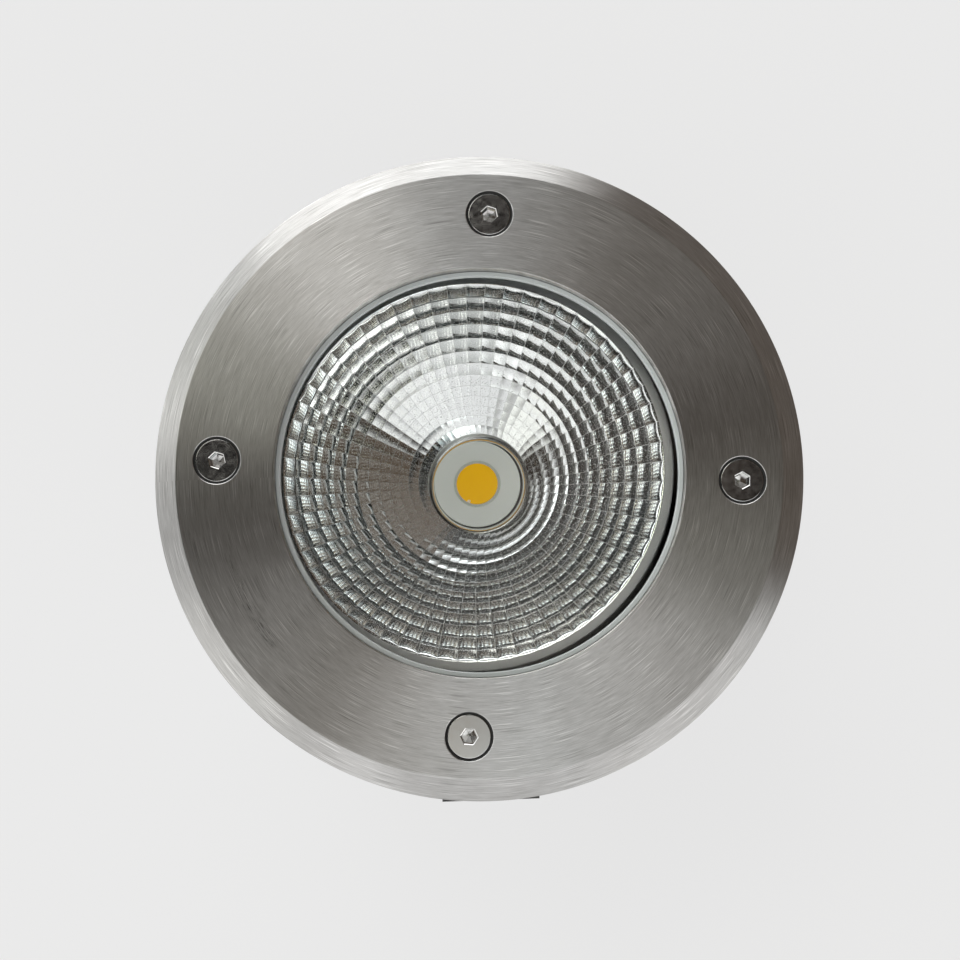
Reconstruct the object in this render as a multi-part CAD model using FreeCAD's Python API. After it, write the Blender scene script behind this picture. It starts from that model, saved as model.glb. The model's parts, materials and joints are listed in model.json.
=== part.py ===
import FreeCAD, Part
import math
import os

# In-ground well light: a stainless bezel and clear glass over a lamp that drops into a
# plastic mounting sleeve.  Under the glass a faceted reflector and its light source
# tilt in a yoke that turns on the gear tray.
# Millimetres.  +Z is up, out of the ground; the origin is the centre of the sleeve's foot.

Vec = FreeCAD.Vector

# ---------------------------------------------------------------- driving dimensions
# bezel
bezel_radius = 90.0
bezel_thickness = 4.0
bezel_face_width = 33.2
bezel_bevel_width = 6.25
bezel_bevel_height = 3.2

# bezel screws, countersunk with a hexagon socket
screw_edge_distance = 7.0
screw_count = 4
screw_head_radius = 5.97
screw_head_edge = 0.3
screw_sink_margin = 0.73
screw_thread_radius = 3.0
screw_thread_length = 14.0
screw_end_bevel = 0.5
screw_edge_bevel = 0.2
socket_across_flats = 4.0
socket_depth = 2.2
socket_point_depth = 1.1
socket_turns = (14.2, 46.2, 27.7, 30.2)
socket_point_share = 0.86
socket_lip = 0.35
socket_lip_height = 0.25

# glass and its gasket
glass_thickness = 8.0
glass_cover = 6.6
glass_bevel = 0.6
gasket_lip = 1.0
gasket_wall = 1.5
gasket_bead_width = 0.9
gasket_bead_height = 0.7

# lamp housing, one casting
lamp_turn = -4.2
flange_thickness = 8.0
flange_overhang = 13.5
seat_width = 3.4
seat_thickness = 4.0
cavity_draft = 1.5
housing_wall = 3.6
housing_floor = 3.5
boss_radius = 6.3
boss_end_wall = 3.0
cooling_rib_count = 16
cooling_rib_thickness = 2.6
cooling_rib_height = 4.0
post_width = 11.0
post_depth = 8.0
earth_pad_radius = 5.5
earth_pad_height = 5.0
earth_pad_inset = 12.3
earth_pad_angle = 206.6

# gear tray and what stands on the housing's floor
tray_clear = 7.0
tray_thickness = 2.0
tray_screw_inset = 6.5
tray_burr_wall = 2.1
tray_burr_height = 5.0
wire_hole_radius = 8.0
wire_hole_inset = 14.8
wire_hole_angle = 133.4
driver_side_room = 27.0
driver_width = 40.0
driver_height = 22.0
driver_place_y = 16.0
driver_corner = 3.0
strap_width = 14.0
strap_thickness = 1.2
strap_foot = 11.0
terminal_length = 31.0
terminal_width = 15.0
terminal_height = 16.0
terminal_gap = 7.0
terminal_poles = 3
terminal_entry_radius = 2.4
terminal_groove = 1.2

# cable gland in the housing's floor
gland_distance = 43.0
gland_thread_radius = 9.8
gland_thread_stand = 2.0
gland_hex_across_flats = 24.0
gland_hex_height = 5.0
gland_nut_height = 14.5
gland_nut_dome = 4.0
gland_neck_radius = 8.6
gland_neck_length = 4.0
gland_seal_stand = 2.0
gland_seal_length = 9.0
gland_bore_radius = 4.5
gland_wall = 1.8
gland_boss_radius = 14.5
gland_boss_height = 3.0

# aiming yoke
yoke_turn = -32.0
yoke_off_centre_y = 1.1
yoke_width = 20.0
yoke_thickness = 2.0
yoke_side_room = 4.6
yoke_bend_radius = 4.0
pan_screw_radius = 2.5
pan_head_radius = 4.75
pan_head_height = 2.75
pan_washer_radius = 6.5
pan_washer_thickness = 0.8

# optic: reflector, light source and heat sink, leaning in the yoke
optic_lean = 5.0
reflector_aperture_radius = 15.6
reflector_shade = 1.8
reflector_height = 30.0
reflector_wall = 1.6
reflector_rim_width = 3.0
reflector_rim_thickness = 1.2
reflector_rim_root = 0.4
reflector_skirt = 3.2
reflector_back_inset = 0.3
reflector_back_end = 5.0
reflector_back_steps = 5
facet_rings = 12
facet_sectors = 60
facet_first_share = 0.807
facet_phase = 1.8
neck_height = 4.2
neck_wall = 1.6
tilt_room = 8.0

holder_flange_thickness = 1.0
holder_flange_margin = 0.4
holder_collar_gap = 0.75
holder_collar_wall = 1.0
holder_collar_height = 1.0
holder_collar_land = 0.1
holder_off_centre = 0.7
chip_gap = 0.45
chip_thickness = 1.5
chip_off_centre = 1.15
phosphor_radius = 6.4
phosphor_height = 0.4
dam_wall = 0.95
dam_height = 0.55
pad_thickness = 0.3

sink_radius = 40.0
sink_base = 5.0
sink_fin_height = 20.0
sink_fin_inset = 4.0
sink_fin_count = 9
sink_fin_thickness = 2.0
sink_fin_pitch = 7.4
sink_swing_room = 6.8
lug_thickness = 7.0
lug_width = 14.0
tilt_screw_radius = 2.0
tilt_screw_length = 12.0
tilt_head_radius = 3.6
tilt_head_height = 2.6
tilt_washer_thickness = 0.6
tilt_washer_radius = 5.2

# small screws
m4_radius = 2.0
m4_head_radius = 3.8
m4_head_height = 2.4
m4_length = 9.0
m4_short_length = 6.5
tap_run_out = 0.5
m3_radius = 1.5
m3_head_radius = 2.5
m3_head_height = 1.8
m3_length = 7.0

# mounting sleeve
sleeve_inset = 7.0
sleeve_wall = 3.0
sleeve_floor = 3.0
foot_thickness = 3.0
peg_inset = 3.5
peg_hole_radius = 2.2
peg_count = 4
drain_radius = 32.0
weep_inset = 27.0
weep_radius = 6.0
weep_count = 6
floor_cable_radius = 8.0
cable_room = 32.5
collar_width = 3.0
collar_height = 6.0
hoop_height = 3.0
hoop_count = 2
sleeve_rib_thickness = 3.0
sleeve_rib_height = 3.5
sleeve_rib_angles = (0, 35, 60, 120, 145, 180, 215, 240, 300, 325)
entry_width = 26.5
entry_top_gap = 2.0
entry_wall = 3.0
entry_height = 30.0
entry_bore_radius = 10.15
entry_roof = 5.85

# clearances
thread_gap = 0.1
glass_gap = 0.1
gasket_gap = 0.2
running_gap = 0.08
floor_gap = 0.3
drop_gap = 0.5
tray_gap = 0.2
cut_over = 1.0

# ---------------------------------------------------------------- levels worked out
# The heights stack up from the foot, so the overall height follows from what it holds.
sink_depth = neck_height + holder_flange_thickness + sink_base + sink_fin_height
housing_under_z = sleeve_floor + cable_room
floor_z = housing_under_z + housing_floor
tray_under_z = floor_z + driver_height + tray_clear
tray_top_z = tray_under_z + tray_thickness
yoke_plate_top_z = tray_top_z + yoke_thickness
pivot_z = yoke_plate_top_z + sink_depth + sink_swing_room
glass_under_z = pivot_z + reflector_height + tilt_room
seat_z = glass_under_z - gasket_lip
cavity_top_z = seat_z - seat_thickness
glass_top_z = glass_under_z + glass_thickness
bezel_under_z = glass_top_z + gasket_lip
flange_under_z = bezel_under_z - flange_thickness
top_z = bezel_under_z + bezel_thickness

# ---------------------------------------------------------------- radii worked out
# The bezel's radius leads: the sleeve hangs under it and the housing drops into the sleeve.
foot_radius = bezel_radius
entry_reach = bezel_radius
sleeve_radius = bezel_radius - sleeve_inset
sleeve_inner_radius = sleeve_radius - sleeve_wall
weep_circle_radius = sleeve_radius - weep_inset
peg_circle_radius = foot_radius - peg_inset
flange_radius = sleeve_inner_radius - drop_gap
screw_circle_radius = flange_radius - screw_edge_distance
screw_sink_radius = screw_head_radius + screw_sink_margin
cavity_radius = flange_radius - flange_overhang
low_cavity_radius = cavity_radius - cavity_draft
tray_radius = low_cavity_radius - tray_gap
tray_screw_circle_radius = cavity_radius - tray_screw_inset
driver_length = 2 * (cavity_radius - driver_side_room)
bezel_bore_radius = bezel_radius - bezel_face_width
glass_radius = bezel_bore_radius + glass_cover
seat_bore_radius = glass_radius - seat_width
gasket_radius = glass_radius + glass_gap + gasket_wall
gasket_bead_outer_radius = bezel_bore_radius - gasket_gap
gasket_bead_inner_radius = gasket_bead_outer_radius - gasket_bead_width
pocket_radius = gasket_radius + gasket_gap
reflector_mouth_radius = bezel_bore_radius - reflector_shade
rim_outer_radius = reflector_mouth_radius + reflector_rim_width
neck_radius = reflector_aperture_radius + neck_wall
holder_screw_circle_radius = neck_radius + m3_head_radius + holder_flange_margin
holder_flange_radius = holder_screw_circle_radius + m3_head_radius + holder_flange_margin
holder_collar_radius = reflector_aperture_radius - holder_collar_gap
holder_bore_radius = holder_collar_radius - holder_collar_wall
chip_radius = holder_bore_radius - chip_gap
sink_fin_radius = sink_radius - sink_fin_inset
yoke_arm_inner = sink_radius + yoke_side_room
lug_outer = yoke_arm_inner - tilt_washer_thickness

# ---------------------------------------------------------------- places worked out
terminal_place_y = driver_place_y - driver_width / 2 - terminal_gap - terminal_width / 2
pan_screw_length = tray_thickness + yoke_thickness + pan_washer_thickness + tray_burr_height
lamp_angle = math.radians(lamp_turn)
yoke_centre = Vec(-yoke_off_centre_y * math.sin(lamp_angle),
                  yoke_off_centre_y * math.cos(lamp_angle), 0)
pivot = yoke_centre + Vec(0, 0, pivot_z)
sink_top = -(neck_height + holder_flange_thickness)
chip_top = sink_top + chip_thickness


# ---------------------------------------------------------------- helpers
def cylinder(radius, low, high, x=0.0, y=0.0):
    return Part.makeCylinder(radius, high - low, Vec(x, y, low))


def ring(outer, inner, low, high, x=0.0, y=0.0):
    bore = cylinder(inner, low - cut_over, high + cut_over, x, y)
    return cylinder(outer, low, high, x, y).cut(bore)


def block(length, width, low, high, x=0.0, y=0.0):
    corner = Vec(x - length / 2, y - width / 2, low)
    return Part.makeBox(length, width, high - low, corner)


def turned(profile):
    """Turn a closed (radius, height) outline about Z."""
    points = [Vec(radius, 0, height) for radius, height in profile]
    face = Part.Face(Part.makePolygon(points + points[:1]))
    return face.revolve(Vec(0, 0, 0), Vec(0, 0, 1), 360)


def hexagon(across_flats, low, high, x=0.0, y=0.0, turn=0.0):
    corner = across_flats / math.sqrt(3)
    points = []
    for step in range(7):
        angle = math.radians(60 * step + turn)
        points.append(Vec(x + corner * math.cos(angle), y + corner * math.sin(angle), low))
    return Part.Face(Part.makePolygon(points)).extrude(Vec(0, 0, high - low))


def spun(shape, angle):
    copy = shape.copy()
    copy.rotate(Vec(0, 0, 0), Vec(0, 0, 1), angle)
    return copy


def around(shape, count, first=0.0):
    return [spun(shape, first + 360.0 * step / count) for step in range(count)]


def joined(shapes):
    return shapes[0].fuse(shapes[1:]).removeSplitter()


def in_lamp(shape):
    return spun(shape, lamp_turn)


def in_yoke(shape):
    copy = spun(shape, yoke_turn)
    copy.translate(yoke_centre)
    return copy


def in_optic(shape):
    """Place a shape drawn about the pivot, upright, into the leaning optic."""
    copy = shape.copy()
    copy.rotate(Vec(0, 0, 0), Vec(0, 1, 0), -optic_lean)
    copy = spun(copy, yoke_turn)
    copy.translate(pivot)
    return copy


def export(name, shape):
    solids = shape.Solids
    body = solids[0] if len(solids) == 1 else Part.makeCompound(solids)
    body.exportStep("parts/" + name + ".step")
    print(name, len(solids), "solid(s)", round(shape.Volume / 1000.0, 2), "cm3")


def pan_head_screw(radius, length, head_radius, head_height, z, x=0.0, y=0.0):
    """Screw with its head resting on z and its shank below it."""
    shank = cylinder(radius, z - length, z, x, y)
    head = cylinder(head_radius, z, z + head_height, x, y)
    edges = [edge for edge in head.Edges if edge.BoundBox.ZMin > z + head_height / 2]
    head = head.makeFillet(head_height * 0.45, edges)
    slot_width = head_radius * 0.3
    cross = joined([
        block(head_radius, slot_width, z + head_height * 0.4, z + head_height + cut_over, x, y),
        block(slot_width, head_radius, z + head_height * 0.4, z + head_height + cut_over, x, y),
    ])
    return shank.fuse(head).cut(cross).removeSplitter()


# ---------------------------------------------------------------- mounting sleeve
def conduit_entry():
    """Flat-faced entry on the -Y side: solid round the conduit bore, a cable way above."""
    depth = entry_reach - sleeve_inner_radius
    middle = -(entry_reach - depth / 2)
    entry_top = bezel_under_z - entry_top_gap
    body = block(entry_width, depth, 0, entry_top, 0, middle)
    way_width = entry_width - 2 * entry_wall
    way_depth = entry_reach - entry_wall - sleeve_inner_radius + cut_over
    way_middle = -(entry_reach - entry_wall - way_depth / 2)
    block_top = entry_height + entry_bore_radius + entry_roof
    way = block(way_width, way_depth, block_top, top_z, 0, way_middle)
    bore_length = depth + 2 * cut_over
    bore = Part.makeCylinder(entry_bore_radius, bore_length,
                             Vec(0, -entry_reach - cut_over, entry_height), Vec(0, 1, 0))
    return body, way, bore


def make_sleeve():
    inner = sleeve_inner_radius
    wall = ring(sleeve_radius, inner, 0, bezel_under_z)
    pieces = [wall, ring(foot_radius, inner, 0, foot_thickness),
              ring(inner + cut_over, drain_radius, 0, sleeve_floor)]
    pieces.append(ring(sleeve_radius + collar_width, inner,
                       bezel_under_z - collar_height, bezel_under_z))
    hoop_step = bezel_under_z / (hoop_count + 1)
    for height in [hoop_step * (index + 1) for index in range(hoop_count)]:
        pieces.append(ring(sleeve_radius + collar_width, inner, height, height + hoop_height))
    rib_reach = sleeve_wall + sleeve_rib_height
    rib = block(rib_reach, sleeve_rib_thickness, 0, bezel_under_z - collar_height / 2,
                inner + rib_reach / 2, 0)
    pieces += [spun(rib, angle) for angle in sleeve_rib_angles]
    body, way, bore = conduit_entry()
    pieces += [body, spun(body, 180)]
    sleeve = joined(pieces)
    collar_hole = cylinder(inner, sleeve_floor, top_z)
    cuts = [collar_hole, way, spun(way, 180), bore, spun(bore, 180)]
    peg = cylinder(peg_hole_radius, -cut_over, foot_thickness + cut_over, peg_circle_radius, 0)
    cuts += around(peg, peg_count, 180.0 / peg_count)
    weep = cylinder(weep_radius, -cut_over, sleeve_floor + cut_over, weep_circle_radius, 0)
    cuts += around(weep, weep_count)
    cuts.append(in_lamp(cylinder(floor_cable_radius, -cut_over, sleeve_floor + cut_over,
                                 0, -gland_distance)))
    return sleeve.cut(cuts).removeSplitter()


# ---------------------------------------------------------------- bezel, glass, gasket
def screw_seat_z():
    """The level at which the bezel's cone is as wide as the head that rests in it."""
    return top_z - (screw_sink_radius - screw_head_radius)


def make_bezel():
    plate = turned([
        (bezel_bore_radius, bezel_under_z),
        (bezel_radius, bezel_under_z),
        (bezel_radius, top_z - bezel_bevel_height),
        (bezel_radius - bezel_bevel_width, top_z),
        (bezel_bore_radius, top_z),
    ])
    hole_radius = screw_thread_radius + 3 * thread_gap
    sink_depth = screw_sink_radius - hole_radius
    sink = Part.makeCone(hole_radius, screw_sink_radius + cut_over, sink_depth + cut_over,
                         Vec(screw_circle_radius, 0, top_z - sink_depth))
    hole = cylinder(hole_radius, bezel_under_z - cut_over, top_z, screw_circle_radius, 0)
    return plate.cut(around(sink.fuse(hole), screw_count, 90.0))


def make_bezel_screw(turn):
    cone_z = screw_seat_z()
    head_z = cone_z + screw_head_edge
    tip_z = cone_z - (screw_head_radius - screw_thread_radius)
    low_z = tip_z - screw_thread_length
    screw = turned([
        (0, low_z),
        (screw_thread_radius - screw_end_bevel, low_z),
        (screw_thread_radius, low_z + screw_end_bevel),
        (screw_thread_radius, tip_z),
        (screw_head_radius, cone_z),
        (screw_head_radius, head_z - screw_edge_bevel),
        (screw_head_radius - screw_edge_bevel, head_z),
        (0, head_z),
    ])
    floor_z_socket = head_z - socket_depth
    corner = socket_across_flats / math.sqrt(3)
    socket = hexagon(socket_across_flats, floor_z_socket, head_z + cut_over, turn=turn)
    point = Part.makeCone(0, corner * socket_point_share, socket_point_depth,
                          Vec(0, 0, floor_z_socket - socket_point_depth))
    lead_in = Part.makeCone(corner - socket_lip_height, corner + socket_lip,
                            socket_lip + socket_lip_height,
                            Vec(0, 0, head_z - socket_lip_height))
    screw = screw.cut([socket, point, lead_in])
    screw.translate(Vec(screw_circle_radius, 0, 0))
    return screw


def make_bezel_screws():
    screws = [spun(make_bezel_screw(turn), 90.0 + 360.0 * index / screw_count)
              for index, turn in enumerate(socket_turns)]
    return Part.makeCompound(screws)


def make_gasket():
    """U section round the glass's edge, with a bead that stands up in the bezel's bore."""
    groove = glass_radius + glass_gap
    return turned([
        (gasket_bead_inner_radius, glass_top_z),
        (groove, glass_top_z),
        (groove, glass_under_z),
        (seat_bore_radius + gasket_gap, glass_under_z),
        (seat_bore_radius + gasket_gap, seat_z),
        (gasket_radius, seat_z),
        (gasket_radius, bezel_under_z),
        (gasket_bead_outer_radius, bezel_under_z),
        (gasket_bead_outer_radius, bezel_under_z + gasket_bead_height),
        (gasket_bead_inner_radius, bezel_under_z + gasket_bead_height),
    ])


def make_glass():
    return turned([
        (0, glass_under_z),
        (glass_radius - glass_bevel, glass_under_z),
        (glass_radius, glass_under_z + glass_bevel),
        (glass_radius, glass_top_z - glass_bevel),
        (glass_radius - glass_bevel, glass_top_z),
        (0, glass_top_z),
    ])


# ---------------------------------------------------------------- lamp housing
def polar(radius, angle):
    return (radius * math.cos(math.radians(angle)), radius * math.sin(math.radians(angle)))


def earth_pad_place():
    return polar(cavity_radius - earth_pad_inset, earth_pad_angle)


def wire_hole_place():
    return polar(tray_radius - wire_hole_inset, wire_hole_angle)


def make_housing():
    shell = turned([
        (0, housing_under_z),
        (low_cavity_radius + housing_wall, housing_under_z),
        (cavity_radius + housing_wall, cavity_top_z),
        (cavity_radius + housing_wall, flange_under_z),
        (flange_radius, flange_under_z),
        (flange_radius, bezel_under_z),
        (pocket_radius, bezel_under_z),
        (pocket_radius, seat_z),
        (seat_bore_radius, seat_z),
        (seat_bore_radius, cavity_top_z),
        (cavity_radius, cavity_top_z),
        (low_cavity_radius, floor_z),
        (0, floor_z),
    ])
    tap_end = bezel_under_z - screw_thread_length - boss_end_wall
    boss = cylinder(boss_radius, tap_end - boss_end_wall, flange_under_z + cut_over,
                    screw_circle_radius, 0)
    rib_length = cooling_rib_height + housing_wall
    rib_middle = low_cavity_radius + housing_wall / 2 + rib_length / 2
    rib = block(rib_length, cooling_rib_thickness, housing_under_z + housing_floor,
                flange_under_z + cut_over, rib_middle, 0)
    post_middle = cavity_radius - post_depth / 2
    post = block(post_depth, post_width, floor_z - cut_over, tray_under_z, post_middle, 0)
    post = post.common(cylinder(cavity_radius + housing_wall / 2, 0, top_z))
    gland_boss = cylinder(gland_boss_radius, housing_under_z - gland_boss_height,
                          floor_z, 0, -gland_distance)
    earth_pad = cylinder(earth_pad_radius, floor_z - cut_over, floor_z + earth_pad_height,
                         *earth_pad_place())
    feet = [block(strap_foot, strap_width, floor_z - cut_over, floor_z + earth_pad_height,
                  side * strap_foot_x(), driver_place_y) for side in (-1, 1)]
    solids = [shell, gland_boss, earth_pad] + feet
    solids += around(boss, screw_count, 90.0)
    solids += around(rib, cooling_rib_count, 180.0 / cooling_rib_count)
    solids += around(post, screw_count, 45.0)
    housing = joined(solids)
    tapped = screw_thread_radius + thread_gap
    cuts = around(cylinder(tapped, tap_end, top_z,
                           screw_circle_radius, 0), screw_count, 90.0)
    small_tapped = m4_radius + thread_gap
    cuts += around(cylinder(small_tapped, tray_top_z - m4_length - tap_run_out,
                            tray_under_z + cut_over, tray_screw_circle_radius, 0),
                   screw_count, 45.0)
    cuts.append(cylinder(gland_thread_radius + thread_gap, 0, floor_z + cut_over,
                         0, -gland_distance))
    pad_top_z = floor_z + earth_pad_height
    tap_end_z = pad_top_z - m4_short_length - tap_run_out
    cuts.append(cylinder(small_tapped, tap_end_z, pad_top_z + cut_over, *earth_pad_place()))
    for side in (-1, 1):
        cuts.append(cylinder(small_tapped, tap_end_z, pad_top_z + cut_over,
                             side * strap_foot_x(), driver_place_y))
    return housing.cut(cuts).removeSplitter()


# ---------------------------------------------------------------- gear in the housing
def strap_foot_x():
    return driver_length / 2 + strap_thickness + floor_gap + strap_foot / 2


def make_driver():
    length, width, height = driver_length, driver_width, driver_height
    case = block(length, width, floor_z, floor_z + height, 0, driver_place_y)
    return case.makeFillet(driver_corner, [e for e in case.Edges
                                           if e.BoundBox.ZLength > height / 2])


def make_driver_strap():
    length, width, height = driver_length, driver_width, driver_height
    inner = length / 2 + floor_gap
    outer = inner + strap_thickness
    foot_z = floor_z + earth_pad_height
    roof_z = floor_z + height
    bridge = block(2 * outer, strap_width, foot_z, roof_z + strap_thickness, 0, driver_place_y)
    hollow = block(2 * inner, strap_width + cut_over, foot_z - cut_over, roof_z, 0,
                   driver_place_y)
    strap = bridge.cut(hollow)
    feet = [block(strap_foot, strap_width, foot_z, foot_z + strap_thickness,
                  side * strap_foot_x(), driver_place_y) for side in (-1, 1)]
    holes = [cylinder(m4_radius + 2 * thread_gap, foot_z - cut_over, foot_z + 2 * strap_thickness,
                      side * strap_foot_x(), driver_place_y) for side in (-1, 1)]
    return joined([strap] + feet).cut(holes)


def make_strap_screws():
    z = floor_z + earth_pad_height + strap_thickness
    return Part.makeCompound([
        pan_head_screw(m4_radius, m4_short_length, m4_head_radius, m4_head_height, z,
                       side * strap_foot_x(), driver_place_y) for side in (-1, 1)])


def make_terminal_block():
    length, width, height = terminal_length, terminal_width, terminal_height
    body = block(length, width, floor_z, floor_z + height, 0, terminal_place_y)
    pitch = length / terminal_poles
    cuts = []
    for pole in range(terminal_poles):
        x = (pole - (terminal_poles - 1) / 2) * pitch
        entry = Part.makeCylinder(terminal_entry_radius, width + 2 * cut_over,
                                  Vec(x, terminal_place_y - width / 2 - cut_over,
                                      floor_z + height * 0.35), Vec(0, 1, 0))
        driver_hole = cylinder(terminal_entry_radius, floor_z + height * 0.6,
                               floor_z + height + cut_over, x, terminal_place_y)
        cuts += [entry, driver_hole]
    for gap in range(terminal_poles - 1):
        x = (gap - (terminal_poles - 2) / 2) * pitch
        cuts.append(block(terminal_groove, width + cut_over, floor_z + height * 0.7,
                          floor_z + height + cut_over, x, terminal_place_y))
    return body.cut(cuts)


def make_earth_screw():
    return pan_head_screw(m4_radius, m4_short_length, m4_head_radius, m4_head_height,
                          floor_z + earth_pad_height, *earth_pad_place())


def make_tray():
    disc = cylinder(tray_radius, tray_under_z, tray_top_z)
    burr = cylinder(pan_screw_radius + tray_burr_wall, tray_under_z - tray_burr_height, tray_top_z,
                    0, yoke_off_centre_y)
    tray = disc.fuse(burr)
    cuts = around(cylinder(m4_radius + 2 * thread_gap, 0, top_z, tray_screw_circle_radius, 0),
                  screw_count, 45.0)
    cuts.append(cylinder(pan_screw_radius + thread_gap, 0, top_z, 0, yoke_off_centre_y))
    cuts.append(cylinder(wire_hole_radius, 0, top_z, *wire_hole_place()))
    return tray.cut(cuts).removeSplitter()


def make_tray_screws():
    screw = pan_head_screw(m4_radius, m4_length, m4_head_radius, m4_head_height, tray_top_z,
                           tray_screw_circle_radius, 0)
    return Part.makeCompound(around(screw, screw_count, 45.0))


# ---------------------------------------------------------------- cable gland
gland_top_z = housing_under_z - gland_boss_height
gland_hex_z = gland_top_z - gland_hex_height
gland_nut_z = gland_hex_z - gland_nut_height
gland_neck_z = gland_hex_z - gland_neck_length
gland_seal_z = gland_neck_z - gland_seal_stand


def make_gland_body():
    thread = cylinder(gland_thread_radius, gland_top_z, floor_z + gland_thread_stand, 0, -gland_distance)
    collar = hexagon(gland_hex_across_flats, gland_hex_z, gland_top_z, 0, -gland_distance)
    neck = cylinder(gland_neck_radius, gland_neck_z, gland_hex_z, 0, -gland_distance)
    way = cylinder(gland_neck_radius - gland_wall, 0, top_z, 0, -gland_distance)
    return joined([thread, collar, neck]).cut(way)


def make_gland_seal():
    return ring(gland_neck_radius - gland_wall - thread_gap, gland_bore_radius,
                gland_seal_z, gland_seal_z + gland_seal_length, 0, -gland_distance)


def make_gland_nut():
    nut = hexagon(gland_hex_across_flats, gland_nut_z, gland_hex_z, 0, -gland_distance)
    corner = gland_hex_across_flats / math.sqrt(3)
    dome = cylinder(corner + cut_over, gland_nut_z, gland_hex_z, 0, -gland_distance)
    edge = [e for e in dome.Edges if e.BoundBox.ZMax < gland_nut_z + thread_gap]
    dome = dome.makeChamfer(gland_nut_dome, edge)
    inside = cylinder(gland_neck_radius + thread_gap, gland_seal_z - thread_gap,
                      gland_hex_z + cut_over, 0, -gland_distance)
    mouth = cylinder(gland_neck_radius - gland_wall, 0, top_z, 0, -gland_distance)
    return nut.common(dome).cut([inside, mouth])


# ---------------------------------------------------------------- aiming yoke
def make_yoke():
    outer = yoke_arm_inner + yoke_thickness
    arm_top = pivot.z
    width = yoke_width
    frame = block(width, 2 * outer, tray_top_z, arm_top, 0, 0)
    corners = [e for e in frame.Edges if e.BoundBox.ZMax < tray_top_z + 0.1
               and e.BoundBox.XLength > width / 2]
    frame = frame.makeFillet(yoke_bend_radius, corners)
    inside = block(width + 2 * cut_over, 2 * yoke_arm_inner, yoke_plate_top_z,
                   arm_top + cut_over, 0, 0)
    corners = [e for e in inside.Edges if e.BoundBox.ZMax < yoke_plate_top_z + 0.1
               and e.BoundBox.XLength > width / 2]
    inside = inside.makeFillet(yoke_bend_radius - yoke_thickness, corners)
    yoke = frame.cut(inside)
    ends = []
    holes = []
    for side in (-1, 1):
        start = yoke_arm_inner if side > 0 else -outer
        ends.append(Part.makeCylinder(width / 2, yoke_thickness, Vec(0, start, arm_top),
                                      Vec(0, 1, 0)))
        holes.append(Part.makeCylinder(tilt_screw_radius + running_gap,
                                       yoke_thickness + 2 * cut_over,
                                       Vec(0, start - cut_over, arm_top), Vec(0, 1, 0)))
    holes.append(cylinder(pan_screw_radius + running_gap, 0, top_z))
    return joined([yoke] + ends).cut(holes).removeSplitter()


def make_pan_washer():
    return ring(pan_washer_radius, pan_screw_radius + thread_gap, yoke_plate_top_z,
                yoke_plate_top_z + pan_washer_thickness)


def make_pan_screw():
    return pan_head_screw(pan_screw_radius, pan_screw_length, pan_head_radius,
                          pan_head_height, yoke_plate_top_z + pan_washer_thickness)


# ---------------------------------------------------------------- reflector
def facet_ring_radius(index):
    """Rings grow outwards: an even first step and a small growth with each ring."""
    span = reflector_mouth_radius - reflector_aperture_radius
    first = facet_first_share * span / facet_rings
    growth = (span - first * facet_rings) / facet_rings ** 2
    return reflector_aperture_radius + first * index + growth * index ** 2


def bowl_height(radius):
    share = (radius ** 2 - reflector_aperture_radius ** 2)
    return reflector_height * share / (reflector_mouth_radius ** 2
                                       - reflector_aperture_radius ** 2)


def facet_loop(radius, height):
    loop = []
    for sector in range(facet_sectors):
        angle = math.radians(facet_phase + 360.0 * sector / facet_sectors)
        loop.append(Vec(radius * math.cos(angle), radius * math.sin(angle), height))
    return loop


def faceted_core():
    """The space inside the reflector: rings of flat facets, closed top and bottom."""
    radii = [facet_ring_radius(index) for index in range(facet_rings + 1)]
    loops = [facet_loop(radii[0], -neck_height - cut_over)]
    loops += [facet_loop(radius, bowl_height(radius)) for radius in radii]
    loops.append(facet_loop(radii[-1], reflector_height + cut_over))
    faces = []
    for lower, upper in zip(loops[:-1], loops[1:]):
        for sector in range(facet_sectors):
            following = (sector + 1) % facet_sectors
            corners = [lower[sector], lower[following], upper[following], upper[sector]]
            faces.append(Part.Face(Part.makePolygon(corners + corners[:1])))
    for loop in (loops[0], loops[-1]):
        faces.append(Part.Face(Part.makePolygon(loop + loop[:1])))
    return Part.makeSolid(Part.makeShell(faces))


def bowl_back_point(radius):
    """A point of the bowl's back, one wall behind the reflecting side."""
    slope = 2 * reflector_height * radius / (reflector_mouth_radius ** 2
                                             - reflector_aperture_radius ** 2)
    length = math.hypot(1.0, slope)
    return (radius + reflector_wall * slope / length,
            bowl_height(radius) - reflector_wall / length)


def make_reflector():
    under_rim = reflector_height - reflector_rim_thickness
    first = neck_radius + reflector_back_inset
    step = (reflector_mouth_radius - reflector_back_end - first) / reflector_back_steps
    back = [bowl_back_point(first + step * index) for index in range(reflector_back_steps + 1)]
    spline = Part.BSplineCurve()
    spline.interpolate([Vec(radius, 0, height) for radius, height in back])
    last = back[-1]
    outline = [(last[0], last[1]),
               (reflector_mouth_radius + reflector_rim_root, under_rim),
               (rim_outer_radius - reflector_rim_thickness, under_rim),
               (rim_outer_radius - reflector_rim_thickness, reflector_height - reflector_skirt),
               (rim_outer_radius, reflector_height - reflector_skirt),
               (rim_outer_radius, reflector_height),
               (0, reflector_height),
               (0, -neck_height),
               (neck_radius, -neck_height),
               (neck_radius, back[0][1]),
               (back[0][0], back[0][1])]
    wire = Part.Wire([spline.toShape()]
                     + Part.makePolygon([Vec(r, 0, z) for r, z in outline]).Edges)
    body = Part.Face(wire).revolve(Vec(0, 0, 0), Vec(0, 0, 1), 360)
    return body.cut(faceted_core())


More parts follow.
